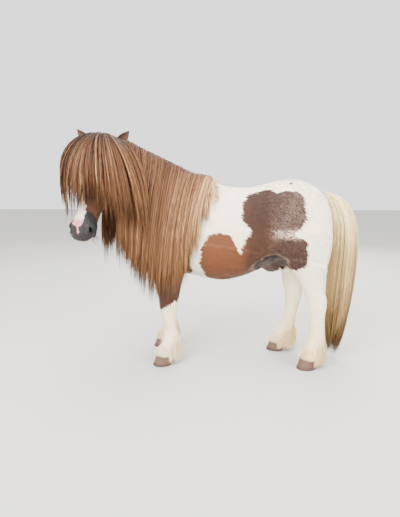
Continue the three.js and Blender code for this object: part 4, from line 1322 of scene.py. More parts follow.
@dataclass
class Feather:
    """The long hair of one fetlock, and the fringe that falls over its hoof."""

    hoof: Hoof
    skin: Skin
    seed: int
    count: int = 460
    behind: float = 0.082
    beside: float = 0.046
    spread: float = 92.0
    foot: float = 0.006
    root: float = 0.150
    fringe_count: int = 420
    fringe_foot: float = 0.024

    def long_hair(self) -> Strands:
        """The feather behind and beside the foot."""
        limb = self.hoof.limb
        random = np.random.default_rng(self.seed)
        turn = np.radians(self.spread) * (2.0 * random.random(self.count) - 1.0)
        toe = limb.toe()
        side = np.cross(toe, UP)
        back = np.cos(turn)[:, None]
        out = -toe * back + side * np.sin(turn)[:, None]
        level = random.random(self.count)
        far = self.beside + (self.behind - self.beside) * np.maximum(back[:, 0], 0.0) ** 2
        far = far * (0.66 + 0.34 * random.random(self.count) ** 0.5)
        root_z = self.root - 0.090 * level
        middle = np.array([limb.middle(z) for z in root_z])
        heel = np.array([limb.middle(limb.path[-1][0])] * self.count)
        heel[:, 2] = 0.0
        low = self.foot + 0.034 * random.random(self.count) ** 1.4
        start = middle + out * 0.016
        knee = middle + (heel - middle) * 0.20 + out * (far * 0.80)[:, None]
        knee[:, 2] = root_z - 0.030
        shin = middle + (heel - middle) * 0.70 + out * (far * 1.04)[:, None]
        shin[:, 2] = low + (root_z - low) * 0.34
        tip = heel + out * (far * 0.93)[:, None]
        tip[:, 2] = low
        shares = np.tile(np.linspace(0.0, 1.0, 7), (self.count, 1))
        ways = curve(shares, start, knee, shin, tip)
        lock = np.round(turn * 6.0) / 6.0
        drawn = ((lock - turn) * far)[:, None] * 0.8 * shares**1.5
        across = np.cross(UP, out)
        ways = ways - across[:, None, :] * drawn[..., None]
        stray = random.normal(0.0, 0.004, self.count)[:, None] * shares**2
        ways = ways + across[:, None, :] * stray[..., None]
        ways = self.skin.hold_off(ways, np.full(self.count, 0.002), 1)
        ways[..., 2] = np.maximum(ways[..., 2], 0.003)
        return self.finished(ways, out, turn, level, random, 0.0028)

    def fringe(self) -> Strands:
        """The short hair round the coronet, lying over the top of the hoof."""
        limb = self.hoof.limb
        random = np.random.default_rng(self.seed + 20)
        count = self.fringe_count
        turn = TURN * random.random(count)
        foot = self.fringe_foot / self.hoof.limb.coronet_height
        rings = [self.hoof.section(share) for share in (foot, 1.0)]
        start_z = 0.056 + 0.042 * random.random(count)
        low, top = (self.ring_points(ring, turn) for ring in rings)
        middle = np.array([limb.middle(z) for z in start_z])
        away = unit(top - middle * LEVEL - UP * top[:, 2:3])
        start = middle + away * 0.026
        drop = 0.05 + 0.45 * random.random(count)
        end = top + (low - top) * drop[:, None]
        end = end + away * (0.0022 + 0.0030 * random.random(count))[:, None]
        over = top + away * 0.0105 + UP * 0.010
        swell = start * 0.5 + over * 0.5 + away * 0.008 + UP * 0.004
        shares = np.tile(np.linspace(0.0, 1.0, 5), (count, 1))
        ways = curve(shares, start, swell, over - UP * 0.006, end)
        ways[:, :3] = self.skin.hold_off(ways, np.full(count, 0.0012), 1)[:, :3]
        level = start_z / 0.1
        return self.finished(ways, away, turn, level, random, 0.0030)

    def ring_points(self, ring: Section, turn: Array) -> Array:
        """Places on a ring of the hoof at turns round it."""
        outline = ring.ring(72)
        index = np.round(turn / TURN * 72.0).astype(int) % 72
        return outline[index]

    def finished(
        self,
        ways: Array,
        out: Array,
        turn: Array,
        level: Array,
        random: np.random.Generator,
        width: float,
    ) -> Strands:
        """The strands of a layer, with their tones and their places on the root map."""
        count = len(ways)
        tone = np.clip(0.62 + random.normal(0.0, 0.14, count), 0.0, 1.0)
        tones = np.repeat(tone[:, None], ways.shape[1], axis=1)
        unwrap = np.stack((turn / TURN % 1.0, level), axis=1)
        widths = width * (0.7 + 0.6 * random.random(count))
        place = np.array([self.hoof.limb.middle(0.10)] * count)
        return Strands(ways, out, widths, np.full(count, 0.0012), unwrap, tones, place)


@dataclass
class Region:
    """One part of the short coat: how its tufts stand."""

    name: str
    count: int
    length: tuple[float, float]
    width: float
    lift: float
    seed: int


@dataclass
class ShortCoat:
    """The short hair of the body, laid along the skin in thin tufts."""

    skin: Skin
    head: Head
    regions: tuple[Region, ...] = (
        Region("trunk", 13200, (0.018, 0.032), 0.0038, 0.0006, 101),
        Region("neck", 1600, (0.020, 0.032), 0.0036, 0.0010, 102),
        Region("legs", 7000, (0.010, 0.018), 0.0030, 0.0005, 103),
        Region("face", 6500, (0.006, 0.011), 0.0017, 0.0003, 104),
        Region("ears", 1300, (0.005, 0.009), 0.0015, 0.0004, 105),
    )
    head_plane: Numbers = (-0.484, -0.172, 0.862)
    head_way: Numbers = (0.42, 0.86, 0.3)
    neck_plane: Numbers = (-0.262, -0.030, 0.700)
    neck_way: Numbers = (0.84, 0.22, -0.5)

    def parts(self, points: Array) -> dict[str, Array]:
        """How much of each region every place belongs to."""
        past_head = (points - np.array(self.head_plane)) @ unit(np.array(self.head_way))
        past_neck = (points - np.array(self.neck_plane)) @ unit(np.array(self.neck_way))
        low = 0.366 + 0.036 * ease(points[:, 0], -0.05, 0.05)
        leg = 1.0 - ease(points[:, 2], low - 0.02, low + 0.04)
        ears = self.skin.on_ears(points).astype(float)
        rest = (1.0 - leg) * (1.0 - ears)
        face = rest * (1.0 - ease(past_head, -0.02, 0.02))
        neck = rest * (1.0 - face) * (1.0 - ease(past_neck, -0.04, 0.04))
        trunk = rest * (1.0 - face) * (1.0 - neck)
        return {"legs": leg, "face": face, "neck": neck, "trunk": trunk, "ears": ears}

    def lie(self, points: Array, normals: Array) -> Array:
        """The way that the hair lies at places on the skin."""
        share = self.parts(points)
        rear = ease(points[:, 0], 0.26, 0.40)[:, None]
        trunk = np.array((0.80, 0.0, -0.50)) * (1.0 - rear) + np.array((0.15, 0.0, -1.0)) * rear
        under = ease(-normals[:, 2], 0.5, 0.9)[:, None]
        trunk = trunk * (1.0 - under) + np.array((1.0, 0.0, 0.0)) * under
        on_left = (self.head.seen(points)[:, 2] > 0.0)[:, None]
        rises = [ear.directions()[0] for ear in self.skin.ears]
        way = (
            trunk * share["trunk"][:, None]
            + np.array((0.42, 0.0, -0.86)) * share["neck"][:, None]
            + np.array((0.10, 0.0, -1.0)) * share["legs"][:, None]
            + self.head.axes[0] * share["face"][:, None]
            + np.where(on_left, rises[0], rises[1]) * share["ears"][:, None]
        )
        way = way - normals * (way * normals).sum(axis=1, keepdims=True)
        return unit(way)

    def unwrap(self, name: str, points: Array, normals: Array) -> Array:
        """Where places lie on the region's skin, unrolled about its own length."""
        if name in ("face", "ears"):
            places = self.head.seen(points)
            angle = np.arctan2(places[:, 2], places[:, 1] + 0.06)
            return np.stack((ease(places[:, 0], -0.12, 0.38), angle / TURN + 0.5), axis=1)
        if name == "legs":
            column = (points[:, 0] > 0.0) * 2.0 + (points[:, 1] > 0.0)
            angle = np.arctan2(normals[:, 1], normals[:, 0]) / TURN + 0.5
            return np.stack(((column + angle) / 4.0, points[:, 2] / 0.45), axis=1)
        angle = np.arctan2(points[:, 1], points[:, 2] - 0.58) / TURN + 0.5
        return np.stack(((points[:, 0] + 0.52) / 0.94, angle), axis=1)

    def thickly(self, name: str) -> Weigh:
        """How thickly a region's tufts stand, from places and normals."""

        def weigh(points: Array, _: Array) -> Array:
            """The density at places on the skin, whichever way the skin faces there."""
            share = self.parts(points)[name]
            if name == "face":
                places = self.head.seen(points)
                eyes = np.linalg.norm(self.head.from_eye(places)[:, :2] / (0.019, 0.012), axis=1)
                share = share * (eyes > 1.0) * (1.0 - ease(places[:, 0], 0.27, 0.32))
            if name == "legs":
                share = share * (points[:, 2] > 0.046)
            return share

        return weigh

    def strands(self, region: Region) -> Strands:
        """The tufts of one region."""
        points, normals = self.skin.scatter(region.count, region.seed, self.thickly(region.name))
        random = np.random.default_rng(region.seed + 50)
        count = len(points)
        way = self.lie(points, normals)
        across = np.cross(normals, way)
        way = unit(way + across * random.normal(0.0, 0.13, count)[:, None])
        length = random.uniform(*region.length, count)[:, None]
        lift = region.lift * random.uniform(0.4, 1.6, count)[:, None]
        middle = points + way * length * 0.45 + normals * (lift * 0.9 + 0.0003)
        tip = points + way * length + normals * lift
        ways = np.stack((points - normals * 0.0008, middle, tip), axis=1)
        tone = np.clip(0.5 + random.normal(0.0, 0.2, count), 0.0, 1.0)
        tones = np.repeat(tone[:, None], 3, axis=1)
        width = region.width * (0.7 + 0.6 * random.random(count))
        unwrap = self.unwrap(region.name, points, normals)
        return Strands(ways, normals, width, width * 0.20, unwrap, tones, points, True)


@dataclass
class FaceHair:
    """The lashes of both eyes and the whiskers of the muzzle."""

    head: Head
    seed: int = 71
    lashes: int = 34
    whiskers: int = 46
    droop: float = 0.25

    def strands(self) -> Strands:
        """All of them, as thin single hairs."""
        random = np.random.default_rng(self.seed)
        roots, ways_out, lengths = [], [], []
        for side in Side:
            out = -side.value
            for k in range(self.lashes):
                turn = math.radians(22.0 + 136.0 * (k + random.random()) / self.lashes)
                u, v = self.head.gape[0] * math.cos(turn), self.head.gape[1] * math.sin(turn)
                rim = self.head.eye_radius + self.head.lid
                w = math.sqrt(rim**2 - u**2 - v**2)
                along, height, far = self.head.eye
                roots.append((along + u, height + v, out * (far + w)))
                ways_out.append((0.25 + 8.0 * u, 0.10, out * 1.0))
                lengths.append(0.008 + 0.005 * random.random())
            for _ in range(self.whiskers // 2):
                along = 0.318 + 0.045 * random.random()
                height = -0.040 - 0.042 * random.random()
                roots.append((along - 0.004, height, out * (0.030 + 0.006 * random.random())))
                ways_out.append((0.45, -0.35 - 0.4 * random.random(), out * 1.0))
                lengths.append(0.018 + 0.022 * random.random())
        root = np.array([self.head.on(*place) for place in roots])
        way = unit(np.array(ways_out)) @ self.head.axes
        length = np.array(lengths)[:, None]
        tip = root + unit(way - UP * self.droop) * length
        ways = np.stack((root - way * 0.004, root + way * length * 0.5, tip), axis=1)
        count = len(root)
        normals = np.repeat(self.head.axes[1][None, :], count, axis=0)
        tones = np.full((count, 3), 0.1)
        unwrap = np.stack((np.arange(count) / count, np.full(count, 0.5)), axis=1)
        width = np.full(count, 0.0009)
        return Strands(ways, normals, width, width * 0.8, unwrap, tones)


@dataclass(frozen=True)
class Value:
    """A number, vector or colour in a graph, reckoned with like any other value."""

    graph: "Graph"
    socket: NodeSocket

    def __add__(self, other: object) -> "Value":
        """This value and another one together."""
        return self.graph.reckon("ADD", self, other)

    def __sub__(self, other: object) -> "Value":
        """This value less another one."""
        return self.graph.reckon("SUBTRACT", self, other)

    def __rsub__(self, other: object) -> "Value":
        """Another value less this one."""
        return self.graph.reckon("SUBTRACT", other, self)

    def __mul__(self, other: object) -> "Value":
        """This value times another one."""
        return self.graph.reckon("MULTIPLY", self, other)

    def __truediv__(self, other: object) -> "Value":
        """This value divided by another one."""
        return self.graph.reckon("DIVIDE", self, other)

    def __pow__(self, power: float) -> "Value":
        """This value to a power."""
        return self.graph.reckon("POWER", self, power)

    def __abs__(self) -> "Value":
        """This value without its sign."""
        return self.graph.reckon("ABSOLUTE", self)

    def length(self) -> "Value":
        """The length of this vector."""
        return self.graph.reckon("LENGTH", self)

    def dot(self, way: Array) -> "Value":
        """How far this vector reaches along a way of length one."""
        return self.graph.reckon("DOT_PRODUCT", self, tuple(way))

    def parts(self) -> "list[Value]":
        """The x, y and z of this vector."""
        first = self.graph.node("ShaderNodeSeparateXYZ", {0: self})
        return [Value(self.graph, socket) for socket in first.socket.node.outputs]

    def step(self, low: float, high: float) -> "Value":
        """A soft step from 0 where this number is `low` to 1 where it is `high`."""
        inputs = {"Value": self, "From Min": low, "From Max": high}
        return self.graph.node("ShaderNodeMapRange", inputs, interpolation_type="SMOOTHSTEP")

    def noise(self, scale: float, detail: float, output: int = 0) -> "Value":
        """A cloudy number about 0.5 that varies from place to place, or as output 1 a colour."""
        inputs = {"Vector": self, "Scale": scale, "Detail": detail}
        return self.graph.node("ShaderNodeTexNoise", inputs, output)

    def bump(self, strength: float, depth: float) -> "Value":
        """The normals of a fine relief as high as this number."""
        inputs = {"Height": self, "Strength": strength, "Distance": depth}
        return self.graph.node("ShaderNodeBump", inputs)

    def mix(self, first: object, second: object) -> "Value":
        """A blend of two colours, with this number as the share of the second."""
        inputs = {0: self, 6: first, 7: second}
        return self.graph.node("ShaderNodeMix", inputs, 2, data_type="RGBA")

    def ramp(self, stops: Stops) -> "Value":
        """The colour that this number reads off a row of colours."""
        read = self.graph.node("ShaderNodeValToRGB", {0: self})
        row = read.socket.node.color_ramp.elements
        while len(row) < len(stops):
            row.new(0.5)
        for element, (position, colour) in zip(row, stops):
            element.position = position
            element.color = colour
        return read


class Graph:
    """Lays out the nodes of one material, world or node group."""

    def __init__(self, tree: NodeTree) -> None:
        """Starts on a tree with nothing in it."""
        self.tree = tree
        tree.nodes.clear()

    def feed(self, socket: NodeSocket, value: object) -> None:
        """Gives a socket a link or a constant."""
        if isinstance(value, Value):
            self.tree.links.new(value.socket, socket)
        elif isinstance(value, float) and socket.type == "VECTOR":
            socket.default_value = (value,) * 3
        else:
            socket.default_value = value

    def node(
        self, kind: str, inputs: dict[object, object], output: int | str = 0, **settings: object
    ) -> Value:
        """One output of a new node with its settings and inputs."""
        made = self.tree.nodes.new(kind)
        for name, value in settings.items():
            setattr(made, name, value)
        for name, value in inputs.items():
            self.feed(made.inputs[name], value)
        return Value(self, made.outputs[output])

    def end(self, kind: str, last: Value) -> None:
        """Leads the last value to the tree's own output."""
        self.feed(self.tree.nodes.new(kind).inputs[0], last)

    def reckon(self, operation: str, *values: object) -> Value:
        """The result of one sum, on vectors where its first value is a vector or a colour."""
        first = values[0]
        on_vectors = isinstance(first, Value) and first.socket.type in ("VECTOR", "RGBA")
        kind = "ShaderNodeVectorMath" if on_vectors else "ShaderNodeMath"
        output = 1 if operation in ("DOT_PRODUCT", "LENGTH") else 0
        return self.node(kind, dict(enumerate(values)), output, operation=operation)

    def attribute(self, name: str, output: str) -> Value:
        """What the mesh itself says at a place."""
        return self.node("ShaderNodeAttribute", {}, output, attribute_name=name)


def largest(*values: Value) -> Value:
    """The largest of some numbers."""
    found = values[0]
    for value in values[1:]:
        found = found.graph.reckon("MAXIMUM", found, value)
    return found


def paint(red: int, green: int, blue: int) -> Colour:
    """A colour as a shader wants it, from 0 to 255 as a screen shows it."""

    def linear(value: int) -> float:
        """One channel as the share of light that it stands for."""
        share = value / 255.0
        return share / 12.92 if share <= 0.04045 else ((share + 0.055) / 1.055) ** 2.4

    return (linear(red), linear(green), linear(blue), 1.0)


@dataclass(frozen=True)
class Patch:
    """One rounded blot of colour on a side: its middle and radii in x and z, and its squareness."""

    x: float
    z: float
    wide: float
    high: float
    square: float = 2.4

    def depth(self, x: Value, z: Value) -> Value:
        """How far inside the patch a place is, in metres."""
        across = (abs(x - self.x) / self.wide) ** self.square
        upright = (abs(z - self.z) / self.high) ** self.square
        return (1.0 - (across + upright) ** (1.0 / self.square)) * min(self.wide, self.high)


@dataclass(frozen=True)
class Markings:
    """Where the coat is white, chestnut, grey and pink, as a node group of places."""

    head: Head
    white: Colour = paint(253, 239, 211)
    cream: Colour = paint(238, 206, 150)
    chestnut: Colour = paint(99, 56, 29)
    brown: Colour = paint(62, 37, 22)
    umber: Colour = paint(42, 21, 11)
    roan: Colour = paint(246, 208, 192)
    face: Colour = paint(98, 64, 42)
    grey: Colour = paint(25, 23, 22)
    highlight_grey: Colour = paint(74, 69, 67)
    nostril_shade: Colour = paint(6, 5, 5)
    pink: Colour = paint(190, 126, 130)
    fold_highlight: Colour = paint(110, 84, 64)
    bare: Colour = paint(80, 64, 60)
    groin_at: Numbers = (0.152, 0.0, 0.436)
    groin_radii: Numbers = (0.098, 0.200, 0.062)
    croup_spot: Numbers = (0.216, -0.071, 0.786)
    left_patches: tuple[Patch, ...] = (
        Patch(0.150, 0.660, 0.124, 0.082, 2.8), Patch(-0.063, 0.470, 0.080, 0.112, 2.0),
        Patch(0.046, 0.422, 0.095, 0.082, 2.4), Patch(0.096, 0.560, 0.040, 0.120, 2.6),
        Patch(0.084, 0.490, 0.066, 0.098, 1.7), Patch(0.222, 0.497, 0.060, 0.072, 2.2),
        Patch(0.150, 0.520, 0.060, 0.048, 2.4), Patch(0.150, 0.572, 0.082, 0.050, 2.2),
    )
    right_patches: tuple[Patch, ...] = (
        Patch(-0.020, 0.590, 0.120, 0.110, 2.6), Patch(0.070, 0.470, 0.090, 0.090, 2.4),
        Patch(0.262, 0.640, 0.085, 0.100, 2.6),
    )

    def group(self) -> NodeTree:
        """The node group, from a root's place and the shaded place, in the row frame, to a colour."""
        tree = bpy.data.node_groups.new("pony_markings", "ShaderNodeTree")
        tree.interface.new_socket("Place", in_out="INPUT", socket_type="NodeSocketVector")
        tree.interface.new_socket("Fleck", in_out="INPUT", socket_type="NodeSocketVector")
        tree.interface.new_socket("Colour", in_out="OUTPUT", socket_type="NodeSocketColor")
        graph = Graph(tree)
        place = graph.node("NodeGroupInput", {}, "Place") - tuple(MIDDLE)
        fleck = graph.node("NodeGroupInput", {}, "Fleck")
        colour = self.body_colour(place)
        coloured, speckled = self.chestnut_share(place, fleck)
        rich = speckled.mix(self.rich_colour(place), self.roan)
        colour = coloured.mix(colour, rich)
        colour = self.groin(place, colour)
        graph.end("NodeGroupOutput", self.face_colour(place, colour))
        return tree

    def body_colour(self, place: Value) -> Value:
        """The white of the coat, creamier low on the legs."""
        high = place.parts()[2].step(0.10, 0.42)
        share = (1.0 - high) * place.noise(7.0, 3.0).step(0.15, 0.75)
        return share.mix(self.white, self.cream)

    def groin(self, place: Value, below: Value) -> Value:
        """The dark skin of the groin and the sheath, over the rest, with a painted highlight along the
        fold's edge and a ring of painted shade under it.
        """
        reach = ((place - self.groin_at) / self.groin_radii).length()
        reach = reach + place.noise(40.0, 3.0) * 0.5
        # The pale tan band is a painted highlight along the edge of the fold.
        colour = reach.step(1.34, 1.22).mix(below, self.fold_highlight)
        # The grey ring is painted shade along the fold, above the bare skin.
        colour = reach.step(1.24, 1.12).mix(colour, self.grey)
        return reach.step(1.06, 0.84).mix(colour, self.bare)

    def chestnut_share(self, place: Value, fleck: Value) -> tuple[Value, Value]:
        """How much of the chestnut shows, and how much pale hair is mixed into it.

        Args:
            place: A root's place in the pony's own frame.
            fleck: The shaded place, which moves even along one tuft.

        Returns:
            The share of chestnut, and the share of pale hair in it, which only the left flank has.
        """
        x, y, z = place.parts()
        wander = (place.noise(16.0, 4.0, 1) - 0.5) * 0.05
        bent_x, _, bent_z = (place + wander).parts()
        sides = []
        for patches, on_side in (
            (self.left_patches, y.step(0.050, 0.030)),
            (self.right_patches, y.step(-0.010, 0.012)),
        ):
            deepest = largest(*(patch.depth(bent_x, bent_z) for patch in patches))
            sides.append(deepest.step(-0.0020, 0.0020) * on_side)
        knee = (place * (1.0, 1.0, 0.10)).noise(110.0, 2.0)
        line = x * 0.62 + knee * 0.055 + 0.407
        fore = bent_x.step(-0.176, -0.184) * (z - line).step(-0.004, 0.004)
        off_spot = ((place - self.croup_spot) * (1.0, 1.0, 0.3)).length()
        spot = off_spot.step(0.0095, 0.0070)
        rear = (x - z * 0.4).step(-0.13, -0.04)
        level = z.step(0.53, 0.59) * rear * 0.044 + 0.016
        wedge = (1.0 - abs(z - 0.574).step(0.003, 0.030)) * x.step(0.120, 0.210)
        flecks = fleck.noise(190.0, 3.0).step(0.40, 0.66) * 1.7
        blotches = place.noise(60.0, 2.0).step(0.35, 0.65) * 0.7
        on_flank = x.step(0.112, 0.150) * y.step(0.02, -0.02)
        speckled = on_flank * (flecks + blotches) * (level + wedge * 0.34)
        return largest(*sides, fore, spot), speckled

    def rich_colour(self, place: Value) -> Value:
        """The chestnut itself, brightest on the belly, darker before and behind it, varied all over;
        the darker brown towards the flank and the umber high up are partly the coat's own darker hair
        and partly painted shade of the flank hollow.
        """
        x, _, z = place.parts()
        cloud = (place.noise(9.0, 3.0) - 0.5) * 0.9
        # Partly painted shade: the brown towards the flank and the umber high up also stand for the
        # shade of the flank hollow.
        dark = abs(x + 0.070).step(0.080, 0.140) * 0.80 + cloud + 0.08
        colour = dark.step(0.0, 1.0).mix(self.chestnut, self.brown)
        upper = largest(z.step(0.54, 0.66), x.step(0.14, 0.20))
        return (upper * x.step(-0.02, 0.03) * 0.75).mix(colour, self.umber)

    def face_colour(self, place: Value, below: Value) -> Value:
        """The face over the rest: brown cheeks, a white blaze, a grey muzzle with painted highlights,
        painted shade in the nostrils and a pink snip.
        """
        apart = place - self.head.poll
        along, height, out = (apart.dot(axis) for axis in self.head.axes)
        ripple = place.noise(60.0, 2.0) - 0.5
        on_head = along.step(0.01, 0.05) * place.parts()[1].step(-0.17, -0.20)
        colour = on_head.mix(below, self.face)
        muzzle = (along + ripple * 0.020 + height * 0.7).step(0.240, 0.264)
        # Paler grey mottles over the muzzle are painted highlights.
        muzzle_highlights = place.noise(240.0, 3.0).step(0.35, 0.80) * 0.50
        greys = muzzle_highlights.mix(self.grey, self.highlight_grey)
        mirrored = out.graph.node("ShaderNodeCombineXYZ", {0: along, 1: height, 2: abs(out)})
        # The middle of each nostril is painted black: painted shade inside the opening.
        inner = (mirrored - self.head.nostril).length()
        greys = inner.step(0.013, 0.008).mix(greys, self.nostril_shade)
        colour = (muzzle * on_head).mix(colour, greys)
        widening = along.step(0.176, 0.278) * 0.0205
        half = widening - along.step(0.316, 0.334) * 0.017
        first = along.step(0.262, 0.200) * -0.010
        middle = first + along.step(0.340, 0.312) * -0.009 - 0.0025
        off = abs(out - middle) + ripple * 0.020
        blaze = (off - half).step(0.0015, -0.0015) * height.step(-0.040, -0.032)
        ends = along.step(0.180, 0.190) * along.step(0.358, 0.348)
        snip = along.step(0.284, 0.312).mix(self.white, self.pink)
        colour = (blaze * ends * on_head).mix(colour, snip)
        lip = height.step(-0.043, -0.049) * along.step(0.346, 0.354) * 0.6
        return (lip * on_head).mix(colour, self.white)


@dataclass(frozen=True)
class Finish:
    """One material, read from places in the row frame."""

    name: str

    def inputs(self, own: Value) -> dict[str, object]:
        """What the shader is fed, by the names of its sockets."""
        raise NotImplementedError

    def material(self) -> Material:
        """The material itself."""
        made = bpy.data.materials.new(self.name)
        made.use_nodes = True
        graph = Graph(made.node_tree)
        own = graph.node("ShaderNodeTexCoord", {}, "Object")
        shader = graph.node("ShaderNodeBsdfPrincipled", self.inputs(own))
        graph.end("ShaderNodeOutputMaterial", shader)
        return made


@dataclass(frozen=True)
class CoatFinish(Finish):
    """The finish of the skin, or of the tufts over it."""

    markings: NodeTree
    on_skin: bool
    roughness: float = 0.68
    sheen: float = 0.12
    shade: float = 0.16

    def inputs(self, own: Value) -> dict[str, object]:
        """The markings, read on the skin itself or halfway between a tuft's root and its own place."""
        place = own
        fine = (own * (120.0, 300.0, 120.0)).noise(1.0, 3.0)
        varied = fine
        if not self.on_skin:
            root = own.graph.attribute("root", "Vector")
            place = root + (own - root) * 0.5
            varied = own.graph.attribute("tone", "Fac") * 0.7 + fine * 0.3
        inputs = {0: place, 1: own}
        marked = own.graph.node("ShaderNodeGroup", inputs, node_tree=self.markings)
        level = varied * self.shade + (1.0 - self.shade / 2.0)
        return {
            "Base Color": marked * level,
            "Roughness": self.roughness,
            "Normal": fine.bump(0.30, 0.0015),
            "Specular IOR Level": 0.25,
            "Sheen Weight": self.sheen,
            "Sheen Roughness": 0.4,
        }


@dataclass(frozen=True)
class HairFinish(Finish):
    """The finish of long hair, from its darkest tone to its palest."""

    tones: Stops

    def inputs(self, own: Value) -> dict[str, object]:
        """Each strand's own tone, with fine streaks along it."""
        fine = (own * (260.0, 260.0, 9.0)).noise(1.0, 2.0)
        tone = own.graph.attribute("tone", "Fac") + (fine - 0.5) * 0.20
        return {
            "Base Color": tone.ramp(self.tones),
            "Roughness": 0.48,
            "Normal": fine.bump(0.25, 0.001),
            "Specular IOR Level": 0.22,
        }


MANE_TONES = (
    (0.00, paint(30, 18, 10)),
    (0.22, paint(60, 38, 24)),
    (0.45, paint(102, 66, 41)),
    (0.68, paint(146, 102, 67)),
    (0.86, paint(194, 149, 101)),
    (1.00, paint(238, 208, 152)),
)
TAIL_TONES = (
    (0.00, paint(48, 33, 20)),
    (0.30, paint(100, 76, 49)),
    (0.55, paint(158, 127, 83)),
    (0.78, paint(214, 184, 128)),
    (1.00, paint(250, 232, 178)),
)


@dataclass(frozen=True)
class HornFinish(Finish):
    """The finish of the hooves."""

    pale: Colour = paint(106, 78, 57)
    dark: Colour = paint(60, 40, 27)

    def inputs(self, own: Value) -> dict[str, object]:
        """Horn: streaked down the wall, ringed round it and darker towards the ground."""
        streak = (own * (330.0, 330.0, 22.0)).noise(1.0, 3.0)
        rings = (own * (14.0, 14.0, 420.0)).noise(1.0, 2.0)
        # The horn is darker in its lowest two centimetres.
        darker_low = own.parts()[2].step(0.020, 0.0) * 0.4
        share = ((streak + rings) * 0.5 + darker_low).step(0.25, 0.95)
        return {
            "Base Color": share.mix(self.pale, self.dark),
            "Roughness": streak * 0.25 + 0.42,
            "Normal": rings.bump(0.35, 0.001),
        }


@dataclass(frozen=True)
class EyeFinish(Finish):
    """The finish of one eye: a dark brown iris with a level pupil under a wet cornea."""

    centre: Array
    head: Head
    iris: Colour = paint(66, 38, 20)
    rim: Colour = paint(28, 18, 13)
    pupil: Colour = paint(8, 8, 12)
    white: Colour = paint(120, 96, 84)

    def inputs(self, own: Value) -> dict[str, object]:
        """Rings of colour about the middle of the gaze."""
        apart = own - tuple(self.centre + np.array(MIDDLE))
        nose, face, _ = self.head.axes
        u = apart.dot(nose) - 0.0018
        v = apart.dot(face) - 0.0022
        circle = (u**2.0 + v**2.0) ** 0.5
        slot = ((u / 0.0075) ** 2.0 + (v / 0.0036) ** 2.0).step(1.15, 0.80)
        rays = apart.noise(420.0, 3.0).step(0.35, 0.75)
        colour = slot.mix(rays.mix(self.rim, self.iris), self.pupil)
        colour = circle.step(0.0118, 0.0136).mix(colour, self.rim)
        colour = circle.step(0.0150, 0.0175).mix(colour, self.white)
        return {
            "Base Color": colour,
            "Roughness": 0.12,
            "Coat Weight": 1.0,
            "Coat Roughness": 0.03,
        }


@dataclass(frozen=True)
class FloorFinish(Finish):
    """The finish of the floor."""

    def inputs(self, own: Value) -> dict[str, object]:
        """A dull pale grey with faint clouds."""
        cloud = own.noise(1.4, 3.0)
        colour = cloud.mix(paint(188, 185, 180), paint(196, 193, 188))
        return {"Base Color": colour, "Roughness": 0.85}


@dataclass
class Studio:
    """The pale floor, the soft lights and the camera at the photo's angle."""

    camera_at: Numbers = (0.0473, -1.6799, 0.7450)
    turn: float = 4.0
    pitch: float = 9.6
    lens: float = 28.2
    floor_size: float = 14.0
    air: Colour = (0.86, 0.87, 0.88, 1.0)
    air_strength: float = 2.2
    lights: tuple[tuple[str, Numbers, float, float], ...] = (
        ("key", (-1.4, -2.6, 2.8), 2.4, 385.0),
        ("fill", (2.8, -1.6, 1.9), 2.6, 165.0),
        ("top", (0.2, 0.4, 3.4), 2.8, 120.0),
        ("back", (0.6, 3.0, 2.2), 2.6, 150.0),
    )

    def floor(self) -> Object:
        """The plain floor."""
        mesh = bmesh.new()
        bmesh.ops.create_grid(mesh, x_segments=8, y_segments=8, size=self.floor_size)
        made = object_of("floor", mesh)
        for polygon in made.data.polygons:
            polygon.use_smooth = False
        made.data.materials.append(FloorFinish("floor_finish").material())
        return made

    def light(self, name: str, at: Numbers, size: float, power: float) -> None:
        """One soft square light that looks at the pony's middle."""
        data = bpy.data.lights.new(name, "AREA")
        data.shape = "SQUARE"
        data.size = size
        data.energy = power
        made = linked(name, data)
        made.location = at
        aim = Vector((0.0, 0.0, 0.5)) - Vector(at)
        made.rotation_euler = aim.to_track_quat("-Z", "Y").to_euler()

    def build(self) -> None:
        """Sets the floor, the lights, the surrounding and the camera."""
        self.floor()
        for name, at, size, power in self.lights:
            self.light(name, at, size, power)
        world = bpy.data.worlds.new("soft_room")
        world.use_nodes = True
        graph = Graph(world.node_tree)
        glow = graph.node("ShaderNodeBackground", {"Color": self.air, "Strength": self.air_strength})
        graph.end("ShaderNodeOutputWorld", glow)
        bpy.context.scene.world = world
        data = bpy.data.cameras.new("camera")
        data.lens = self.lens
        data.sensor_width = 36.0
        made = linked("camera", data)
        turn, pitch = math.radians(self.turn), math.radians(self.pitch)
        level = math.cos(pitch)
        look = Vector((-math.sin(turn) * level, math.cos(turn) * level, -math.sin(pitch)))
        made.location = self.camera_at
        made.rotation_euler = look.to_track_quat("-Z", "Y").to_euler()
        bpy.context.scene.camera = made


def dress(
    piece: Object, finish: Material, slot: Slot, *nodes: str
) -> Object:
    """Puts a finished piece on the pony.

    Args:
        piece: The piece, in the pony's own frame.
        finish: Its material.
        slot: The record's material slot for the piece; it is not used.
        nodes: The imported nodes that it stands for.

    Returns:
        The piece, in the row frame and riding on the body.
    """
    piece.data.transform(Matrix.Translation(MIDDLE))
    piece.data.materials.clear()
    piece.data.materials.append(finish)
    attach(piece, BODY)
    if nodes:
        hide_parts(*nodes)
    triangles = sum(len(polygon.vertices) - 2 for polygon in piece.data.polygons)
    LOG.info("%s: %d triangles", piece.name, triangles)
    return piece


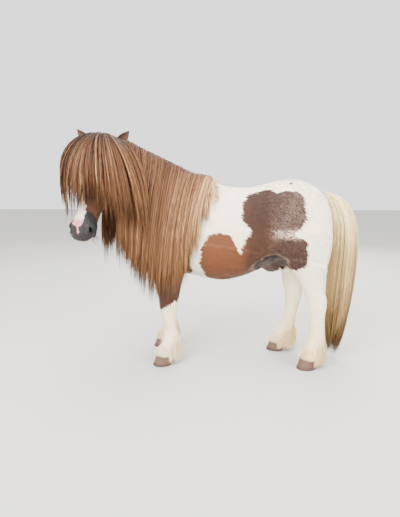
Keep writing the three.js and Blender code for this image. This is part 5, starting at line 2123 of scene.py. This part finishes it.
def build_hair(skin: Skin) -> None:
    """Makes and dresses the forelock, the mane and the tail."""
    mane_finish = HairFinish("mane_hair_finish", MANE_TONES).material()
    tail_finish = HairFinish("tail_hair_finish", TAIL_TONES).material()
    # The under mass takes a lower tone: painted shade beneath the top hair.
    fringe = [
        Mass(86, 26, 11, 0.0020, 31, (0.0, 0.35), (-0.045, 0.050), clump=0.82, streak=0.32),
        Mass(86, 26, 11, 0.0020, 32, (0.1, 0.60), (-0.040, 0.045), clump=0.82),
        Mass(64, 20, 8, 0.0046, 33, (0.55, 1.0), (-0.045, 0.0), tone=-0.04, streak=0.06),
    ]
    for k, mass in enumerate(fringe):
        piece = Forelock(skin, mass).strands().build(f"forelock_hair_{k + 1}")
        dress(piece, mane_finish, Slot.MANE, "forelock")
    left_tips = (
        (0.0, -0.438, -0.262, 0.478), (0.2, -0.384, -0.250, 0.384),
        (0.4, -0.340, -0.232, 0.330), (0.6, -0.284, -0.214, 0.312),
        (0.78, -0.232, -0.200, 0.332), (0.9, -0.188, -0.190, 0.410),
        (1.0, -0.146, -0.178, 0.530),
    )
    right_tips = (
        (0.0, -0.566, -0.080, 0.470), (0.2, -0.540, 0.010, 0.452),
        (0.4, -0.460, 0.100, 0.440), (0.6, -0.350, 0.168, 0.420),
        (0.8, -0.260, 0.182, 0.440), (1.0, -0.165, 0.172, 0.560),
    )
    combed = {"spread": 0.9, "clump": 0.62, "streak": 0.10}
    # The under masses take a lower tone: painted shade beneath the top hair.
    left_top = Mass(120, 16, 12, 0.0022, 41, (0.0, 0.35), (-0.055, 0.030), **combed)
    left_under = Mass(56, 20, 8, 0.0050, 45, (0.55, 1.0), (-0.070, 0.0), tone=-0.04, streak=0.06)
    right_top = Mass(130, 19, 11, 0.0026, 43, (0.0, 0.45), (-0.085, 0.050), **combed)
    right_under = Mass(56, 20, 8, 0.0052, 44, (0.5, 1.0), (-0.090, 0.0), tone=-0.06, streak=0.06)
    manes = {
        Side.LEFT: [left_top, replace(left_top, seed=42, depths=(0.1, 0.60)), left_under],
        Side.RIGHT: [right_top, right_under],
    }
    for side, lift, tips in (
        (Side.LEFT, (0.052, 0.004), left_tips),
        (Side.RIGHT, (0.048, 0.004), right_tips),
    ):
        name = side.name.lower()
        for k, mass in enumerate(manes[side]):
            hair = Mane(skin, mass, side=side, lift=lift, tips=tips, loft_off=0.030)
            piece = hair.strands().build(f"mane_hair_{name}_{k + 1}")
            dress(piece, mane_finish, Slot.MANE, "mane_" + name)
        out = -side.value
        trailing = (
            (0.0, -0.300, 0.150 * out, 0.560),
            (0.8, -0.160, 0.168 * out, 0.600),
            (0.9, -0.112, 0.156 * out, 0.650),
            (1.0, -0.068, 0.130 * out, 0.716),
        )
        seed = 46 + side.value
        wisps = Mass(26, 16, 9, 0.0019, seed, (0.0, 1.0), (-0.040, 0.060), tone=0.10)
        wisps = replace(wisps, stray=0.010, wave=0.004)
        hair = Mane(skin, wisps, side=side, lift=lift, tips=trailing, reach=(0.80, 1.0), layer=0.004)
        dress(hair.strands().build(f"wither_wisps_{name}"), mane_finish, Slot.MANE, "mane_" + name)
    for k, seed in enumerate((51, 52)):
        mass = Mass(112, 16, 11, 0.0029, seed, stray=0.004, wave=0.0030, clump=0.55, thick=0.0015)
        piece = Tail(skin, mass).strands().build(f"tail_hair_{k + 1}")
        dress(piece, tail_finish, Slot.TAIL, "tail")


def main() -> None:
    """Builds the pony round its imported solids, then the studio."""
    logging.basicConfig(level=logging.INFO, format="%(message)s", stream=sys.stdout)
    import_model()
    head = Head()
    limbs = all_limbs()
    ears = [Ear(Side.LEFT, head, 26.0, 1.04), Ear(Side.RIGHT, head, 46.0, 1.14)]
    skin = Skin(Trunk(), Neck(), head, ears, limbs)
    markings = Markings(head).group()
    skin_finish = CoatFinish("skin_finish", markings, True).material()
    coat_finish = CoatFinish("coat_finish", markings, False).material()
    flesh = ["torso", "neck", "head", "ear_left", "ear_right"]
    flesh += ["leg_" + limb.name for limb in limbs]
    hide = skin.build()
    horn = HornFinish("hoof_horn_finish").material()
    hooves = [Hoof(limb) for limb in limbs]
    for hoof in hooves:
        dress(hoof.build(), horn, Slot.HORN, "hoof_" + hoof.limb.name)
    for side in Side:
        name = side.name.lower()
        ball = Eyeball(side, head)
        finish = EyeFinish("eye_finish_" + name, ball.centre(), head).material()
        dress(ball.build(), finish, Slot.EYE, "eye_" + name)
    coat = ShortCoat(skin, head)
    for region in coat.regions:
        piece = coat.strands(region).build("coat_" + region.name)
        dress(piece, coat_finish, Slot.WHITE)
    for k, hoof in enumerate(hooves):
        feather = Feather(hoof, skin, 61 + k)
        dress(feather.long_hair().build("feather_" + hoof.limb.name), coat_finish, Slot.WHITE)
        dress(feather.fringe().build("coronet_hair_" + hoof.limb.name), coat_finish, Slot.WHITE)
    lash_finish = HairFinish("lash_finish", MANE_TONES).material()
    dress(FaceHair(head).strands().build("lashes_and_whiskers"), lash_finish, Slot.MANE)
    build_hair(skin)
    dress(hide, skin_finish, Slot.WHITE, *flesh)
    Studio().build()


if __name__ == "__main__":
    main()
